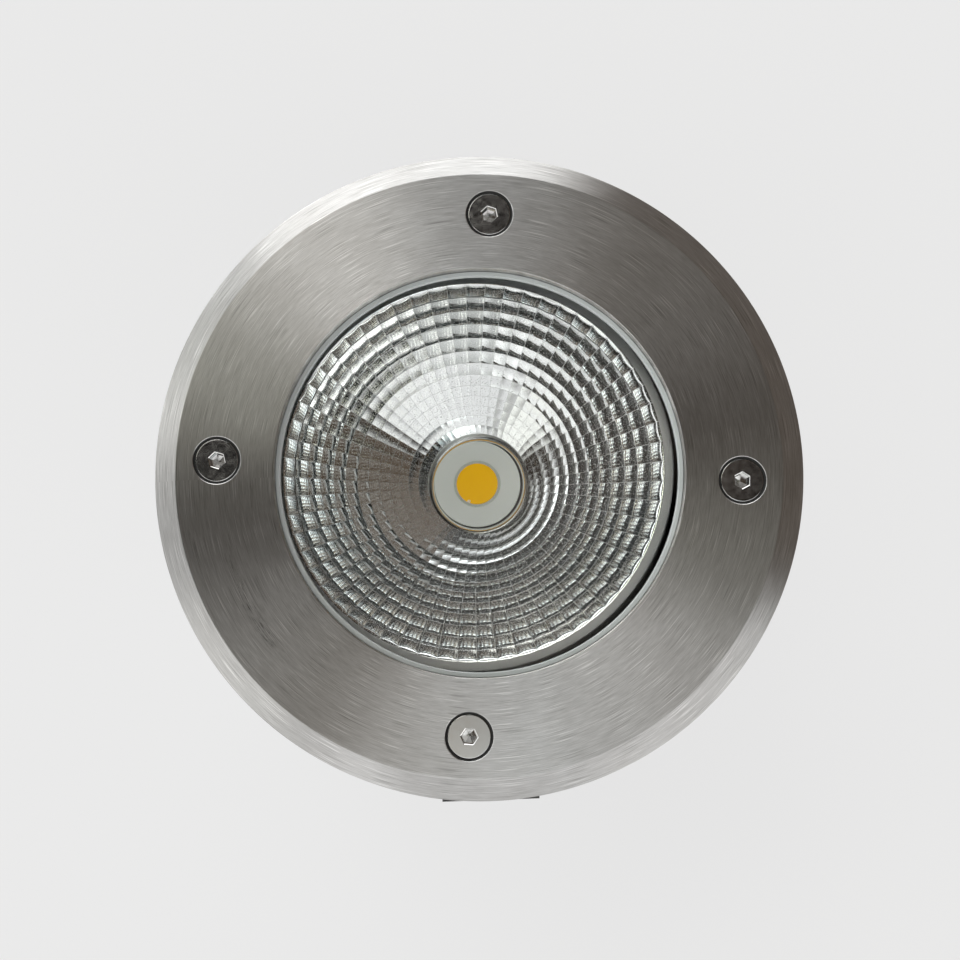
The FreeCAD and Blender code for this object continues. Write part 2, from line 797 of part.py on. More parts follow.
# ---------------------------------------------------------------- light source
def make_cob_holder():
    flange = cylinder(holder_flange_radius, sink_top, sink_top + holder_flange_thickness)
    collar_top = chip_top + holder_collar_height
    collar = cylinder(holder_collar_radius, sink_top, collar_top, -holder_off_centre, 0)
    bore = cylinder(holder_bore_radius, sink_top - cut_over, collar_top,
                    -holder_off_centre, 0)
    bright_cone = Part.makeCone(holder_bore_radius, holder_collar_radius - holder_collar_land,
                                holder_collar_height, Vec(-holder_off_centre, 0, chip_top))
    holes = [cylinder(m3_radius + 2 * thread_gap, sink_top - cut_over, cut_over,
                      0, side * holder_screw_circle_radius) for side in (-1, 1)]
    return flange.fuse(collar).cut([bore, bright_cone] + holes).removeSplitter()


def make_holder_screws():
    z = sink_top + holder_flange_thickness
    return Part.makeCompound([
        pan_head_screw(m3_radius, m3_length, m3_head_radius, m3_head_height, z,
                       0, side * holder_screw_circle_radius) for side in (-1, 1)])


def make_chip():
    return cylinder(chip_radius, sink_top, chip_top, -chip_off_centre, 0)


def make_phosphor():
    return cylinder(phosphor_radius, chip_top, chip_top + phosphor_height,
                    -chip_off_centre, 0)


def make_dam():
    return ring(phosphor_radius + dam_wall, phosphor_radius, chip_top, chip_top + dam_height,
                -chip_off_centre, 0)


def make_thermal_pad():
    return cylinder(chip_radius, sink_top - pad_thickness, sink_top, -chip_off_centre, 0)


# ---------------------------------------------------------------- heat sink and pivots
def make_heat_sink():
    base_under = sink_top - sink_base
    base = cylinder(sink_radius, base_under, sink_top)
    fin_space = cylinder(sink_fin_radius, base_under - sink_fin_height, sink_top)
    solids = [base]
    for index in range(sink_fin_count):
        offset = (index - (sink_fin_count - 1) / 2) * sink_fin_pitch
        fin = block(2 * sink_fin_radius, sink_fin_thickness, base_under - sink_fin_height,
                    sink_top - sink_base / 2, 0, offset)
        solids.append(fin.common(fin_space))
    for side in (-1, 1):
        middle = side * (lug_outer - lug_thickness / 2)
        solids.append(block(lug_width, lug_thickness, base_under, 0, 0, middle))
        start = lug_outer - lug_thickness if side > 0 else -lug_outer
        solids.append(Part.makeCylinder(lug_width / 2, lug_thickness, Vec(0, start, 0),
                                        Vec(0, 1, 0)))
    sink = joined(solids)
    cuts = [cylinder(chip_radius + thread_gap, sink_top - pad_thickness, 0,
                     -chip_off_centre, 0)]
    for side in (-1, 1):
        start = lug_outer - 2 * lug_thickness if side > 0 else -lug_outer - cut_over
        cuts.append(Part.makeCylinder(tilt_screw_radius + thread_gap,
                                      2 * lug_thickness + cut_over,
                                      Vec(0, start, 0), Vec(0, 1, 0)))
        cuts.append(cylinder(m3_radius + thread_gap, base_under - cut_over, 0,
                             0, side * holder_screw_circle_radius))
    return sink.cut(cuts).removeSplitter()


def tilt_screw():
    """Screw along +Y: its head lies on the yoke arm's outer face."""
    seat = yoke_arm_inner + yoke_thickness
    screw = pan_head_screw(tilt_screw_radius, tilt_screw_length, tilt_head_radius,
                           tilt_head_height, seat)
    screw.rotate(Vec(0, 0, 0), Vec(1, 0, 0), -90)
    return screw


def make_tilt_screws():
    return Part.makeCompound([tilt_screw(), spun(tilt_screw(), 180)])


def make_tilt_washers():
    washer = Part.makeCylinder(tilt_washer_radius, tilt_washer_thickness,
                               Vec(0, lug_outer, 0), Vec(0, 1, 0))
    bore = Part.makeCylinder(tilt_screw_radius + thread_gap,
                             tilt_washer_thickness + 2 * cut_over,
                             Vec(0, lug_outer - cut_over, 0), Vec(0, 1, 0))
    washer = washer.cut(bore)
    return Part.makeCompound([washer, spun(washer, 180)])


# ---------------------------------------------------------------- write the parts
os.makedirs("parts", exist_ok=True)

export("mounting_sleeve", make_sleeve())

lamp_parts = {
    "bezel": make_bezel,
    "bezel_screws": make_bezel_screws,
    "glass": make_glass,
    "glass_gasket": make_gasket,
    "lamp_housing": make_housing,
    "led_driver": make_driver,
    "driver_strap": make_driver_strap,
    "strap_screws": make_strap_screws,
    "terminal_block": make_terminal_block,
    "earth_screw": make_earth_screw,
    "gear_tray": make_tray,
    "tray_screws": make_tray_screws,
    "gland_body": make_gland_body,
    "gland_seal": make_gland_seal,
    "gland_nut": make_gland_nut,
}
for name, make in lamp_parts.items():
    export(name, in_lamp(make()))

yoke_parts = {
    "aiming_yoke": make_yoke,
    "pan_washer": make_pan_washer,
    "pan_screw": make_pan_screw,
}
for name, make in yoke_parts.items():
    export(name, in_yoke(make()))

optic_parts = {
    "reflector": make_reflector,
    "cob_holder": make_cob_holder,
    "holder_screws": make_holder_screws,
    "cob_base": make_chip,
    "phosphor": make_phosphor,
    "phosphor_dam": make_dam,
    "thermal_pad": make_thermal_pad,
    "heat_sink": make_heat_sink,
    "tilt_screws": make_tilt_screws,
    "tilt_washers": make_tilt_washers,
}
for name, make in optic_parts.items():
    export(name, in_optic(make()))
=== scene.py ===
# %% [markdown]
# # An in-ground well light
# This lesson dresses a well light: a brushed steel bezel with four countersunk screws, clear
# glass, and under it a faceted reflector that leans in its yoke. The construction comes in as
# a fixed frame of separate nodes. Where a node's shape is already right it only gets a
# finish, and where the eye looks closely a finer piece takes its place.

# %% Load the frame
import json
import math

import bmesh
import bpy
from mathutils import Matrix, Vector


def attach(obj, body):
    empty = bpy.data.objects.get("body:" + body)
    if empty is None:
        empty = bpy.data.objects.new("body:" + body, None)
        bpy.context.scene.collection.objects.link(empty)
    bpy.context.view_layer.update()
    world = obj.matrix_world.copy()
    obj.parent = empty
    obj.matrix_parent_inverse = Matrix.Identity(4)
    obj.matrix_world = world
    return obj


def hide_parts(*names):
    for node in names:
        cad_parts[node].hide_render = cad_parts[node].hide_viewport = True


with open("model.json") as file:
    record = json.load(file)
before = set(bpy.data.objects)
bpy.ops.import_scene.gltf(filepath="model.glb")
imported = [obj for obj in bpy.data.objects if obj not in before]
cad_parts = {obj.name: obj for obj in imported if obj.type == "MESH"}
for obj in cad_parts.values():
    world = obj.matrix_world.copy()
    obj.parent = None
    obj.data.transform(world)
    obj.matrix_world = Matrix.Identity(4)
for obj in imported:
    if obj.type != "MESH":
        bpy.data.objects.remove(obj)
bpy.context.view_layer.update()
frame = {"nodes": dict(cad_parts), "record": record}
nodes = frame["nodes"]
MM = 0.001

# %% [markdown]
# ## Camera
# The picture was taken from almost straight above with a long lens. Its place was worked out
# from the circles of the bezel, which look very slightly oval. A camera looks along its own
# minus Z, so a rotation matrix is built from three directions: right, up and back.

# %% Set the camera
FRAME_PX = 960
FOCAL_PX = 1417.7
SENSOR_MM = 36.0
CAMERA_AT = Vector((-1.76, -43.40, 548.0)) * MM
LOOK_AT = Vector((0.064, -2.734, 160.0)) * MM
IMAGE_UP = Vector((0.03525, 0.99938, 0.0))

camera_data = bpy.data.cameras.new("photo_camera")
camera_data.sensor_width = SENSOR_MM
camera_data.lens = SENSOR_MM * FOCAL_PX / FRAME_PX
camera_data.clip_start = 0.01
camera = bpy.data.objects.new("photo_camera", camera_data)
bpy.context.scene.collection.objects.link(camera)
back = (CAMERA_AT - LOOK_AT).normalized()
right = IMAGE_UP.cross(back).normalized()
up = back.cross(right)
turn = Matrix((right, up, back)).transposed().to_4x4()
camera.matrix_world = Matrix.Translation(CAMERA_AT) @ turn
bpy.context.scene.camera = camera
print("lens", round(camera_data.lens, 2), "mm")

# %% [markdown]
# ## Small tools for shaders
# The light and every finish are trees of shader nodes. One helper adds any node, fills its
# inputs and links them. The others add the kinds that return most often: a sum, a blend of
# two colours, a change of range, and noise.

# %% Make the shader tools


def wire(tree, kind, inputs=None, **settings):
    """Adds a node, sets its properties, and fills its inputs with values or links."""
    node = tree.nodes.new(kind)
    for key, value in settings.items():
        setattr(node, key, value)
    for key, value in (inputs or {}).items():
        if isinstance(value, bpy.types.NodeSocket):
            tree.links.new(value, node.inputs[key])
        else:
            node.inputs[key].default_value = value
    return node


def math_node(tree, operation, *values):
    return wire(tree, "ShaderNodeMath", dict(enumerate(values)), operation=operation).outputs[0]


def blend_colour(tree, factor, first, second, way="MIX"):
    # sockets 0, 6 and 7 of a Mix node are the factor and the two colours
    return wire(tree, "ShaderNodeMix", {0: factor, 6: first, 7: second}, data_type="RGBA",
                blend_type=way).outputs[2]


def remap(tree, value, low, high, to_low=0.0, to_high=1.0, curve="LINEAR"):
    """Maps the range low to high of a value onto another range, and holds it there."""
    return wire(tree, "ShaderNodeMapRange", {
        "Value": value, "From Min": low, "From Max": high, "To Min": to_low,
        "To Max": to_high}, interpolation_type=curve).outputs[0]


def noise(tree, place, scale, detail, roughness=0.5):
    """Soft grey noise, most of it between 0.3 and 0.7."""
    return wire(tree, "ShaderNodeTexNoise", {
        "Vector": place, "Scale": scale, "Detail": detail, "Roughness": roughness}).outputs[0]


print("shader tools:", [tool.__name__ for tool in (wire, math_node, blend_colour, remap, noise)])

# %% [markdown]
# Each effect becomes a node group, which hides its inner nodes and has named sockets for what
# differs from use to use. All groups here take numbers and give masks, so all their sockets
# are floats.

# %% Make the group tools


def new_group(name, inputs, outputs):
    """A new node group: the group, its inputs by title, and its outputs by title."""
    group = bpy.data.node_groups.new(name, "ShaderNodeTree")
    for title, value in inputs.items():
        socket = group.interface.new_socket(title, in_out="INPUT",
                                            socket_type="NodeSocketFloat")
        socket.default_value = value
    for title in outputs:
        group.interface.new_socket(title, in_out="OUTPUT", socket_type="NodeSocketFloat")
    start = group.nodes.new("NodeGroupInput")
    end = group.nodes.new("NodeGroupOutput")
    return group, start.outputs, end.inputs


def use(tree, group, **values):
    """Places a group with its own values, and gives its outputs."""
    return wire(tree, "ShaderNodeGroup", values, node_tree=group).outputs


print("group tools:", new_group.__name__, "and", use.__name__)

# %% [markdown]
# ## Stage and light
# Bright metal has no look of its own: it shows the room. So the world here is a studio dome
# of soft panels: a pale room with a window in the roof, a bright wall and table on the far
# side, lower tables to the left and right, and a brown curtain. Between the panels it is
# dark, so that the glass stays clear. The camera itself sees a plain pale backdrop.

# %% List the room's panels
# name, compass centre and half width, then the upper and lower edge measured down from
# the zenith, all in degrees, and the light it gives; the compass runs clockwise from the
# top of the photograph
SOFTBOXES = [
    ("camera side", 0, 190, -10, 4, (0.50, 0.46, 0.42)),
    ("roof hatch", 30, 20, 5, 11, (0.55, 0.45, 0.38)),
    ("roof window", 182, 24, 8, 23, (2.01, 2.08, 2.10)),
    ("roof window, left", 215, 20, 5, 18, (0.62, 0.53, 0.38)),
    ("roof window, right", 150, 18, 5, 18, (0.71, 0.82, 0.85)),
    ("near wall", 165, 52, 23, 60, (1.01, 1.00, 1.02)),
    ("left window", 238, 16, 28, 60, (1.26, 1.26, 1.23)),
    ("far strip", 331, 15, 22, 43, (3.10, 3.02, 2.88)),
    ("far side", 300, 14, 32, 42, (3.2, 3.2, 2.7)),
    ("far wall", 328, 45, 60, 74, (2.78, 2.84, 2.92)),
    ("far table", 349, 28, 74, 95, (4.0, 4.0, 4.0)),
    ("low left", 245, 45, 60, 95, (1.41, 1.41, 1.42)),
    ("low front", 180, 25, 60, 95, (0.80, 0.81, 0.81)),
    ("right table", 132, 24, 72, 95, (2.7, 2.7, 2.7)),
    ("brown curtain", 60, 45, 30, 95, (0.11, 0.08, 0.06)),
]
SIDE_SOFT, EDGE_SOFT = 8.0, 5.0
COMPASS_OFFSET = 2.02
BACKDROP = 0.807
print("panels:", len(SOFTBOXES))

# %% [markdown]
# All panels are patches of the dome that differ only in their edges, so one node group makes
# the mask of any of them. A ping-pong of 180 degrees turns the difference of two bearings into
# how far apart they are, whichever way round is shorter.

# %% Make one soft panel


def make_softbox():
    """1 inside one panel of the dome and 0 outside, with soft edges."""
    group, given, out = new_group("softbox", dict.fromkeys(
        ("Compass", "From Zenith", "Centre", "Half Width", "Upper", "Lower"), 0.0), ("Mask",))

    def edge(value, at, soft):
        low = math_node(group, "SUBTRACT", at, soft)
        high = math_node(group, "ADD", at, soft)
        return remap(group, value, low, high, curve="SMOOTHSTEP")

    aside = math_node(group, "SUBTRACT", given["Compass"], given["Centre"])
    aside = math_node(group, "PINGPONG", aside, 180.0)
    within = math_node(group, "SUBTRACT", 1.0, edge(aside, given["Half Width"], SIDE_SOFT))
    below = edge(given["From Zenith"], given["Upper"], EDGE_SOFT)
    past = edge(given["From Zenith"], given["Lower"], EDGE_SOFT)
    band = math_node(group, "SUBTRACT", below, past)
    group.links.new(math_node(group, "MULTIPLY", band, within), out["Mask"])
    return group


softbox = make_softbox()
print("made:", softbox.name)

# %% [markdown]
# The dome adds the panels up. A Light Path node tells the rays that come from the camera from
# those that a surface mirrors, which is how the backdrop stays plain.

# %% Build the studio dome
scene = bpy.context.scene
scene.view_settings.view_transform = "Standard"
world = bpy.data.worlds.new("studio_dome")
scene.world = world
world.use_nodes = True
tree = world.node_tree
tree.nodes.clear()
direction = wire(tree, "ShaderNodeTexCoord").outputs["Generated"]
split = wire(tree, "ShaderNodeSeparateXYZ", {0: direction}).outputs
bearing = math_node(tree, "ARCTAN2", split["X"], split["Y"])
compass = math_node(tree, "SUBTRACT", math_node(tree, "DEGREES", bearing), COMPASS_OFFSET)
from_zenith = math_node(tree, "DEGREES", math_node(tree, "ARCCOSINE", split["Z"]))
dome = (0.0, 0.0, 0.0, 1.0)
for name, centre, half, upper, lower, colour in SOFTBOXES:
    panel = wire(tree, "ShaderNodeGroup", {
        "Compass": compass, "From Zenith": from_zenith, "Centre": centre,
        "Half Width": half, "Upper": upper, "Lower": lower}, node_tree=softbox, label=name)
    dome = blend_colour(tree, panel.outputs["Mask"], dome, (*colour, 1.0), "ADD")
seen = wire(tree, "ShaderNodeLightPath").outputs["Is Camera Ray"]
shown = blend_colour(tree, seen, dome, (BACKDROP, BACKDROP, BACKDROP, 1.0))
background = wire(tree, "ShaderNodeBackground", {"Color": shown, "Strength": 1.0})
wire(tree, "ShaderNodeOutputWorld", {"Surface": background.outputs[0]})
print("dome:", len(tree.nodes), "nodes")

# %% [markdown]
# The floor is one large pale sheet. Most of what the camera sees of it is even, and the rest
# is a plain matt surface, which keeps the soft shadow of the light.

# %% Lay the floor
FLOOR_HALF = 3.0
FLOOR_EVEN_SHARE = 0.8
FLOOR_GLOW = 0.88
FLOOR_GREY = 0.80
floor_mesh = bpy.data.meshes.new("floor")
floor_mesh.from_pydata([(-FLOOR_HALF, -FLOOR_HALF, 0), (FLOOR_HALF, -FLOOR_HALF, 0),
                        (FLOOR_HALF, FLOOR_HALF, 0), (-FLOOR_HALF, FLOOR_HALF, 0)],
                       [], [(0, 1, 2, 3)])
floor = bpy.data.objects.new("floor", floor_mesh)
scene.collection.objects.link(floor)
floor_material = bpy.data.materials.new("floor_paper")
floor_material.use_nodes = True
tree = floor_material.node_tree
tree.nodes.clear()
path = wire(tree, "ShaderNodeLightPath").outputs
seen = math_node(tree, "MAXIMUM", path["Is Camera Ray"], path["Is Glossy Ray"])
seen = math_node(tree, "MAXIMUM", seen, path["Is Transmission Ray"])
even = math_node(tree, "MULTIPLY", seen, FLOOR_EVEN_SHARE)
matt = wire(tree, "ShaderNodeBsdfDiffuse", {"Color": (FLOOR_GREY, FLOOR_GREY, FLOOR_GREY, 1)})
glow = wire(tree, "ShaderNodeEmission", {"Color": (FLOOR_GLOW, FLOOR_GLOW, FLOOR_GLOW, 1)})
paper = wire(tree, "ShaderNodeMixShader", {0: even, 1: matt.outputs[0], 2: glow.outputs[0]})
wire(tree, "ShaderNodeOutputMaterial", {"Surface": paper.outputs[0]})
floor_mesh.materials.append(floor_material)
print("floor", 2 * FLOOR_HALF, "m square")

# %% [markdown]
# ## Shared effects
# The effects that finishes are mixed from are node groups too. First come the lines that a
# brush or a lathe tool leaves round an axis. The noise is read in polar form, with the radius
# across and the bearing along, and that draws its blots out into arcs.

# %% Make the turned lines
PATCH_SCALE = 55.0
HAIRS_ACROSS, HAIRS_AROUND, HAIR_LAYER = 4600.0, 5.0, 7.0


def around_axis(group):
    """A place on the piece, how far it is from the Z axis, and its bearing round it."""
    place = wire(group, "ShaderNodeTexCoord").outputs["Object"]
    axes = wire(group, "ShaderNodeSeparateXYZ", {0: place}).outputs
    flat = wire(group, "ShaderNodeCombineXYZ", {0: axes[0], 1: axes[1]}).outputs[0]
    radius = wire(group, "ShaderNodeVectorMath", {0: flat}, operation="LENGTH")
    return place, radius.outputs["Value"], math_node(group, "ARCTAN2", axes[1], axes[0])


def arcs(group, radius, bearing, across, around, detail, roughness=0.5, layer=0.0):
    """Noise in arcs: so many waves across to the metre, and so many around to the unit of
    the bearing. Another layer gives other arcs."""
    polar = wire(group, "ShaderNodeCombineXYZ", {
        0: math_node(group, "MULTIPLY", radius, across),
        1: math_node(group, "MULTIPLY", bearing, around), 2: layer})
    return noise(group, polar.outputs[0], 1.0, detail, roughness)


def make_turned_lines():
    """Gives the lines, soft patches, and the noise whose extremes are single hairlines."""
    group, given, out = new_group("turned_lines", {"Across": 3000.0, "Around": 5.0},
                                  ("Lines", "Patches", "Hairlines"))
    place, radius, bearing = around_axis(group)
    lines = arcs(group, radius, bearing, given["Across"], given["Around"], detail=3.0,
                 roughness=0.65)
    hairlines = arcs(group, radius, bearing, HAIRS_ACROSS, HAIRS_AROUND, detail=0.0,
                     layer=HAIR_LAYER)
    group.links.new(lines, out["Lines"])
    group.links.new(noise(group, place, PATCH_SCALE, detail=2.0), out["Patches"])
    group.links.new(hairlines, out["Hairlines"])
    return group


turned_lines = make_turned_lines()
print("made:", turned_lines.name)

# %% [markdown]
# The bezel of a used light is scuffed where it was set down. The scuffs are short arcs in one
# oval patch, which slants a little against the brushing.

# %% Make the scuff marks
SCUFF_SLANT = 0.00005    # metres outwards for each degree round
SCUFFS_ACROSS, SCUFFS_AROUND = 3200.0, 0.22
SCUFF_RANGE, SCUFF_SHARE = (0.50, 0.66), 0.85
PATCH_EDGE = (1.0, 0.2)


def make_scuff_marks():
    """Gives arcs in one patch, which has a bearing and a width in degrees, and a radius and
    a breadth in metres."""
    group, given, out = new_group(
        "scuff_marks", {"Compass": 0.0, "Width": 10.0, "Radius": 0.08, "Breadth": 0.002},
        ("Mask",))
    _, radius, turn = around_axis(group)
    bearing = math_node(group, "DEGREES", turn)
    aside = math_node(group, "SUBTRACT", bearing, given["Compass"])
    aside = math_node(group, "PINGPONG", aside, 180.0)
    aside = math_node(group, "DIVIDE", aside, given["Width"])
    slant = math_node(group, "MULTIPLY", bearing, SCUFF_SLANT)
    off = math_node(group, "SUBTRACT", radius, slant)
    off = math_node(group, "ABSOLUTE", math_node(group, "SUBTRACT", off, given["Radius"]))
    off = math_node(group, "DIVIDE", off, given["Breadth"])
    reach = math_node(group, "ADD", math_node(group, "POWER", aside, 2.0),
                      math_node(group, "POWER", off, 2.0))
    inside = remap(group, reach, *PATCH_EDGE)
    streaks = arcs(group, radius, bearing, SCUFFS_ACROSS, SCUFFS_AROUND, detail=4.0,
                   roughness=0.7)
    marks = remap(group, streaks, *SCUFF_RANGE, 0.0, SCUFF_SHARE)
    group.links.new(math_node(group, "MULTIPLY", inside, marks), out["Mask"])
    return group


scuff_marks = make_scuff_marks()
print("made:", scuff_marks.name)

# %% [markdown]
# Moulded and cast skins carry an even pebble. Dust settles on faces that look up, thins out
# in patches, and leaves a trace on upright faces.

# %% Make the grain and the dust
DUST_SCALE = 90.0
LEAST_DUST = 0.15


def make_fine_grain():
    group, given, out = new_group("fine_grain", {"Scale": 1200.0}, ("Grain",))
    place = wire(group, "ShaderNodeTexCoord").outputs["Object"]
    group.links.new(noise(group, place, given["Scale"], detail=2.0), out["Grain"])
    return group


def make_dust_film():
    """Gives how much of a spot the dust covers."""
    group, given, out = new_group("dust_film", {"Amount": 0.2}, ("Mask",))
    place = wire(group, "ShaderNodeTexCoord").outputs["Object"]
    facing = wire(group, "ShaderNodeSeparateXYZ", {
        0: wire(group, "ShaderNodeNewGeometry").outputs["Normal"]})
    upward = math_node(group, "MAXIMUM", facing.outputs["Z"], LEAST_DUST)
    clouds = noise(group, place, DUST_SCALE, detail=5.0)
    mask = math_node(group, "MULTIPLY", clouds, upward)
    group.links.new(math_node(group, "MULTIPLY", mask, given["Amount"]), out["Mask"])
    return group


fine_grain = make_fine_grain()
dust_film = make_dust_film()
print("made:", fine_grain.name, "and", dust_film.name)

# %% [markdown]
# The facets of the reflector meet in seams. Each facet has a UV map that runs from 0 to 1 over
# it, so a ping-pong of 0.5 tells how near its border is.

# %% Make the facet seams
FACET_MAP = "facet_map"


def make_facet_seams():
    """Gives 1 on the border of a facet and 0 from the seam's width inwards."""
    group, given, out = new_group("facet_seams", {"Width": 0.04}, ("Mask",))
    grid = wire(group, "ShaderNodeSeparateXYZ", {
        0: wire(group, "ShaderNodeUVMap", uv_map=FACET_MAP).outputs[0]}).outputs
    inward = [math_node(group, "PINGPONG", grid[axis], 0.5) for axis in (0, 1)]
    nearest = math_node(group, "MINIMUM", *inward)
    group.links.new(remap(group, nearest, given["Width"], 0.0, curve="SMOOTHSTEP"),
                    out["Mask"])
    return group


facet_seams = make_facet_seams()
print("made:", facet_seams.name)

# %% [markdown]
# ## Finishes
# Every finish is one Principled shader. A value that is the same all over is set on the
# shader's own socket, and only what changes over the surface is linked: the grain into the
# bump, the patches into roughness, and the dust into the colour.

# %% Make the tools for a finish
finishes = {}


def finish(name, colour, metallic=0.0, roughness=0.5, **sockets):
    """A new Principled material: the material itself, its node tree, and its shader."""
    material = bpy.data.materials.new(name)
    material.use_nodes = True
    tree = material.node_tree
    tree.nodes.clear()
    shader = wire(tree, "ShaderNodeBsdfPrincipled", {"Metallic": metallic})
    wire(tree, "ShaderNodeOutputMaterial", {"Surface": shader.outputs[0]})
    for key, value in (("Base Color", colour), ("Roughness", roughness), *sockets.items()):
        socket = shader.inputs[key.replace("_", " ")]
        if isinstance(value, tuple) and len(value) == 3:
            value = (*value, 1.0)
        socket.default_value = value
    return material, tree, shader


def vary_roughness(tree, shader, mask, smooth, dull):
    """Links a 0 to 1 mask to the roughness, as a range from smooth to dull."""
    tree.links.new(remap(tree, mask, 0.0, 1.0, smooth, dull), shader.inputs["Roughness"])


def bump(tree, shader, height, distance_mm):
    node = wire(tree, "ShaderNodeBump", {"Height": height, "Distance": distance_mm * MM,
                                         "Strength": 1.0})
    tree.links.new(node.outputs[0], shader.inputs["Normal"])


print("finish tools:", [tool.__name__ for tool in (finish, vary_roughness, bump)])

# %% [markdown]
# Most pieces are plain metal or plain moulded stuff, and two functions make all of these. The
# frame names a material slot for every node, and a finish is kept under its slot's name. The
# painted shade in the sinks round the screws and the polish on their heads are no slots of the
# frame and have names of their own. After the finish's name come the colour, the roughness, the
# grains to the metre, the bump in millimetres and, for moulded ones, the share of dust.

# %% Make metal and moulded finishes
METAL_SPREAD = (0.8, 1.25)
MOULDED_SPREAD = (0.85, 1.15)
DUST = (0.42, 0.40, 0.37, 1.0)


def metal(name, colour, roughness, grain_scale, bump_mm):
    """Plain metal with a fine even grain."""
    material, tree, shader = finish(name, colour, 1.0, roughness)
    grain = use(tree, fine_grain, Scale=grain_scale)["Grain"]
    vary_roughness(tree, shader, grain, *(roughness * share for share in METAL_SPREAD))
    bump(tree, shader, grain, bump_mm)
    return material


def moulded(name, colour, roughness, grain_scale, bump_mm, dust=0.15):
    """Plastic, rubber or powder coat: pebbled, with a little dust on it."""
    material, tree, shader = finish(name, colour, 0.0, roughness)
    grain = use(tree, fine_grain, Scale=grain_scale)["Grain"]
    film = use(tree, dust_film, Amount=dust)["Mask"]
    dusty = blend_colour(tree, film, (*colour, 1.0), DUST)
    tree.links.new(dusty, shader.inputs["Base Color"])
    vary_roughness(tree, shader, grain,
                   *(min(1.0, roughness * share) for share in MOULDED_SPREAD))
    bump(tree, shader, grain, bump_mm)
    return material


finishes.update({
    "sleeve_plastic": moulded("sleeve_plastic", (0.030, 0.031, 0.032), 0.55, 1400, 0.05, 0.3),
    "gasket_rubber": moulded("gasket_silicone", (0.60, 0.64, 0.63), 0.40, 2200, 0.01, 0.02),
    "cast_housing": moulded("cast_housing", (0.19, 0.21, 0.215), 0.50, 900, 0.06, 0.1),
    "driver_case": moulded("driver_case", (0.62, 0.62, 0.60), 0.45, 1600, 0.02, 0.05),
    "terminal_plastic": moulded("terminal_plastic", (0.72, 0.70, 0.63), 0.40, 1600, 0.02, 0.05),
    "pad_grey": moulded("pad_grey", (0.45, 0.47, 0.50), 0.70, 1500, 0.02, 0.0),
    # painted shade: a near-black finish for the shadow in the bezel's countersinks
    "sink_painted_shade": moulded("sink_painted_shade", (0.012, 0.012, 0.011), 0.8, 2500, 0.02, 0.0),
    "screw_steel": metal("screw_steel", (0.55, 0.545, 0.53), 0.28, 2500, 0.01),
    "zinc_sheet": metal("zinc_sheet", (0.50, 0.52, 0.54), 0.34, 700, 0.02),
    "earth_brass": metal("earth_brass", (0.66, 0.50, 0.22), 0.30, 2000, 0.01),
    "tray_aluminium": metal("tray_aluminium", (0.60, 0.60, 0.60), 0.38, 800, 0.02),
    "gland_metal": metal("gland_nickel", (0.60, 0.59, 0.56), 0.26, 2000, 0.01),
    "holder_bright": metal("holder_bright", (0.86, 0.86, 0.85), 0.05, 2400, 0.002),
    "sink_aluminium": metal("sink_black", (0.08, 0.08, 0.085), 0.42, 1000, 0.02),
})
print("plain finishes:", len(finishes))

# %% [markdown]
# The bezel is brushed round its axis. Brushing makes the reflection anisotropic: it smears it
# across the lines, so the tangent runs round Z and is turned by a quarter. The colour is built
# up in layers: pale and dark lines, soft clouds, single hairlines, and a dark scuff low on the
# left, just inside the bevel.

# %% Brush the bezel
STEEL_MEAN = (0.56, 0.555, 0.54)
STEEL_DARK, STEEL_PALE = (0.40, 0.395, 0.38, 1), (0.69, 0.685, 0.67, 1)
STEEL_RANGE = (0.30, 0.70)
CLOUD = (0.30, 0.28, 0.26, 1)
CLOUD_RANGE, CLOUD_SHARE = (0.35, 0.65), 0.16
# where a hairline starts to show in the noise, where it is full, and its colour
HAIRLINES = ((0.68, 0.76, (0.95, 0.94, 0.92, 1)), (0.32, 0.24, (0.22, 0.21, 0.20, 1)))
HAIRLINE_SHARE = 0.5
SCUFF = (0.06, 0.055, 0.05, 1)
SCUFF_PATCH = {"Compass": -150.5, "Width": 17.0, "Radius": 0.0806, "Breadth": 0.0022}
FINE_SHARE, BROAD_SHARE = 0.65, 0.35


def bezel_colour(tree, grain, fine):
    shade = blend_colour(tree, remap(tree, grain, *STEEL_RANGE), STEEL_DARK, STEEL_PALE)
    clouds = remap(tree, fine["Patches"], *CLOUD_RANGE, 0.0, CLOUD_SHARE)
    shade = blend_colour(tree, clouds, shade, CLOUD)
    for start, full, colour in HAIRLINES:
        marks = remap(tree, fine["Hairlines"], start, full, 0.0, HAIRLINE_SHARE)
        shade = blend_colour(tree, marks, shade, colour)
    scuffs = use(tree, scuff_marks, **SCUFF_PATCH)["Mask"]
    return blend_colour(tree, scuffs, shade, SCUFF)


def brushed_bezel():
    material, tree, shader = finish("stainless_brushed", STEEL_MEAN, 1.0, 0.35,
                                    Anisotropic=0.90, Anisotropic_Rotation=0.25)
    tangent = wire(tree, "ShaderNodeTangent", direction_type="RADIAL", axis="Z")
    tree.links.new(tangent.outputs[0], shader.inputs["Tangent"])
    fine = use(tree, turned_lines, Across=5200.0, Around=16.0)
    broad = use(tree, turned_lines, Across=1400.0, Around=7.0)
    grain = math_node(tree, "ADD", math_node(tree, "MULTIPLY", fine["Lines"], FINE_SHARE),
                      math_node(tree, "MULTIPLY", broad["Lines"], BROAD_SHARE))
    vary_roughness(tree, shader, grain, smooth=0.26, dull=0.44)
    tree.links.new(bezel_colour(tree, grain, fine), shader.inputs["Base Color"])
    bump(tree, shader, grain, distance_mm=0.006)
    return material


finishes["stainless"] = brushed_bezel()
print("made:", finishes["stainless"].name)

# %% [markdown]
# The screw heads are smooth enough to mirror one patch of the room each, and only smears from
# handling make them uneven. The reflector is a mirror coat over moulded plastic. It is dull
# along the seams and in fine specks all over, so that its darkest reflections stay grey, and
# a faint ripple bends what it shows.

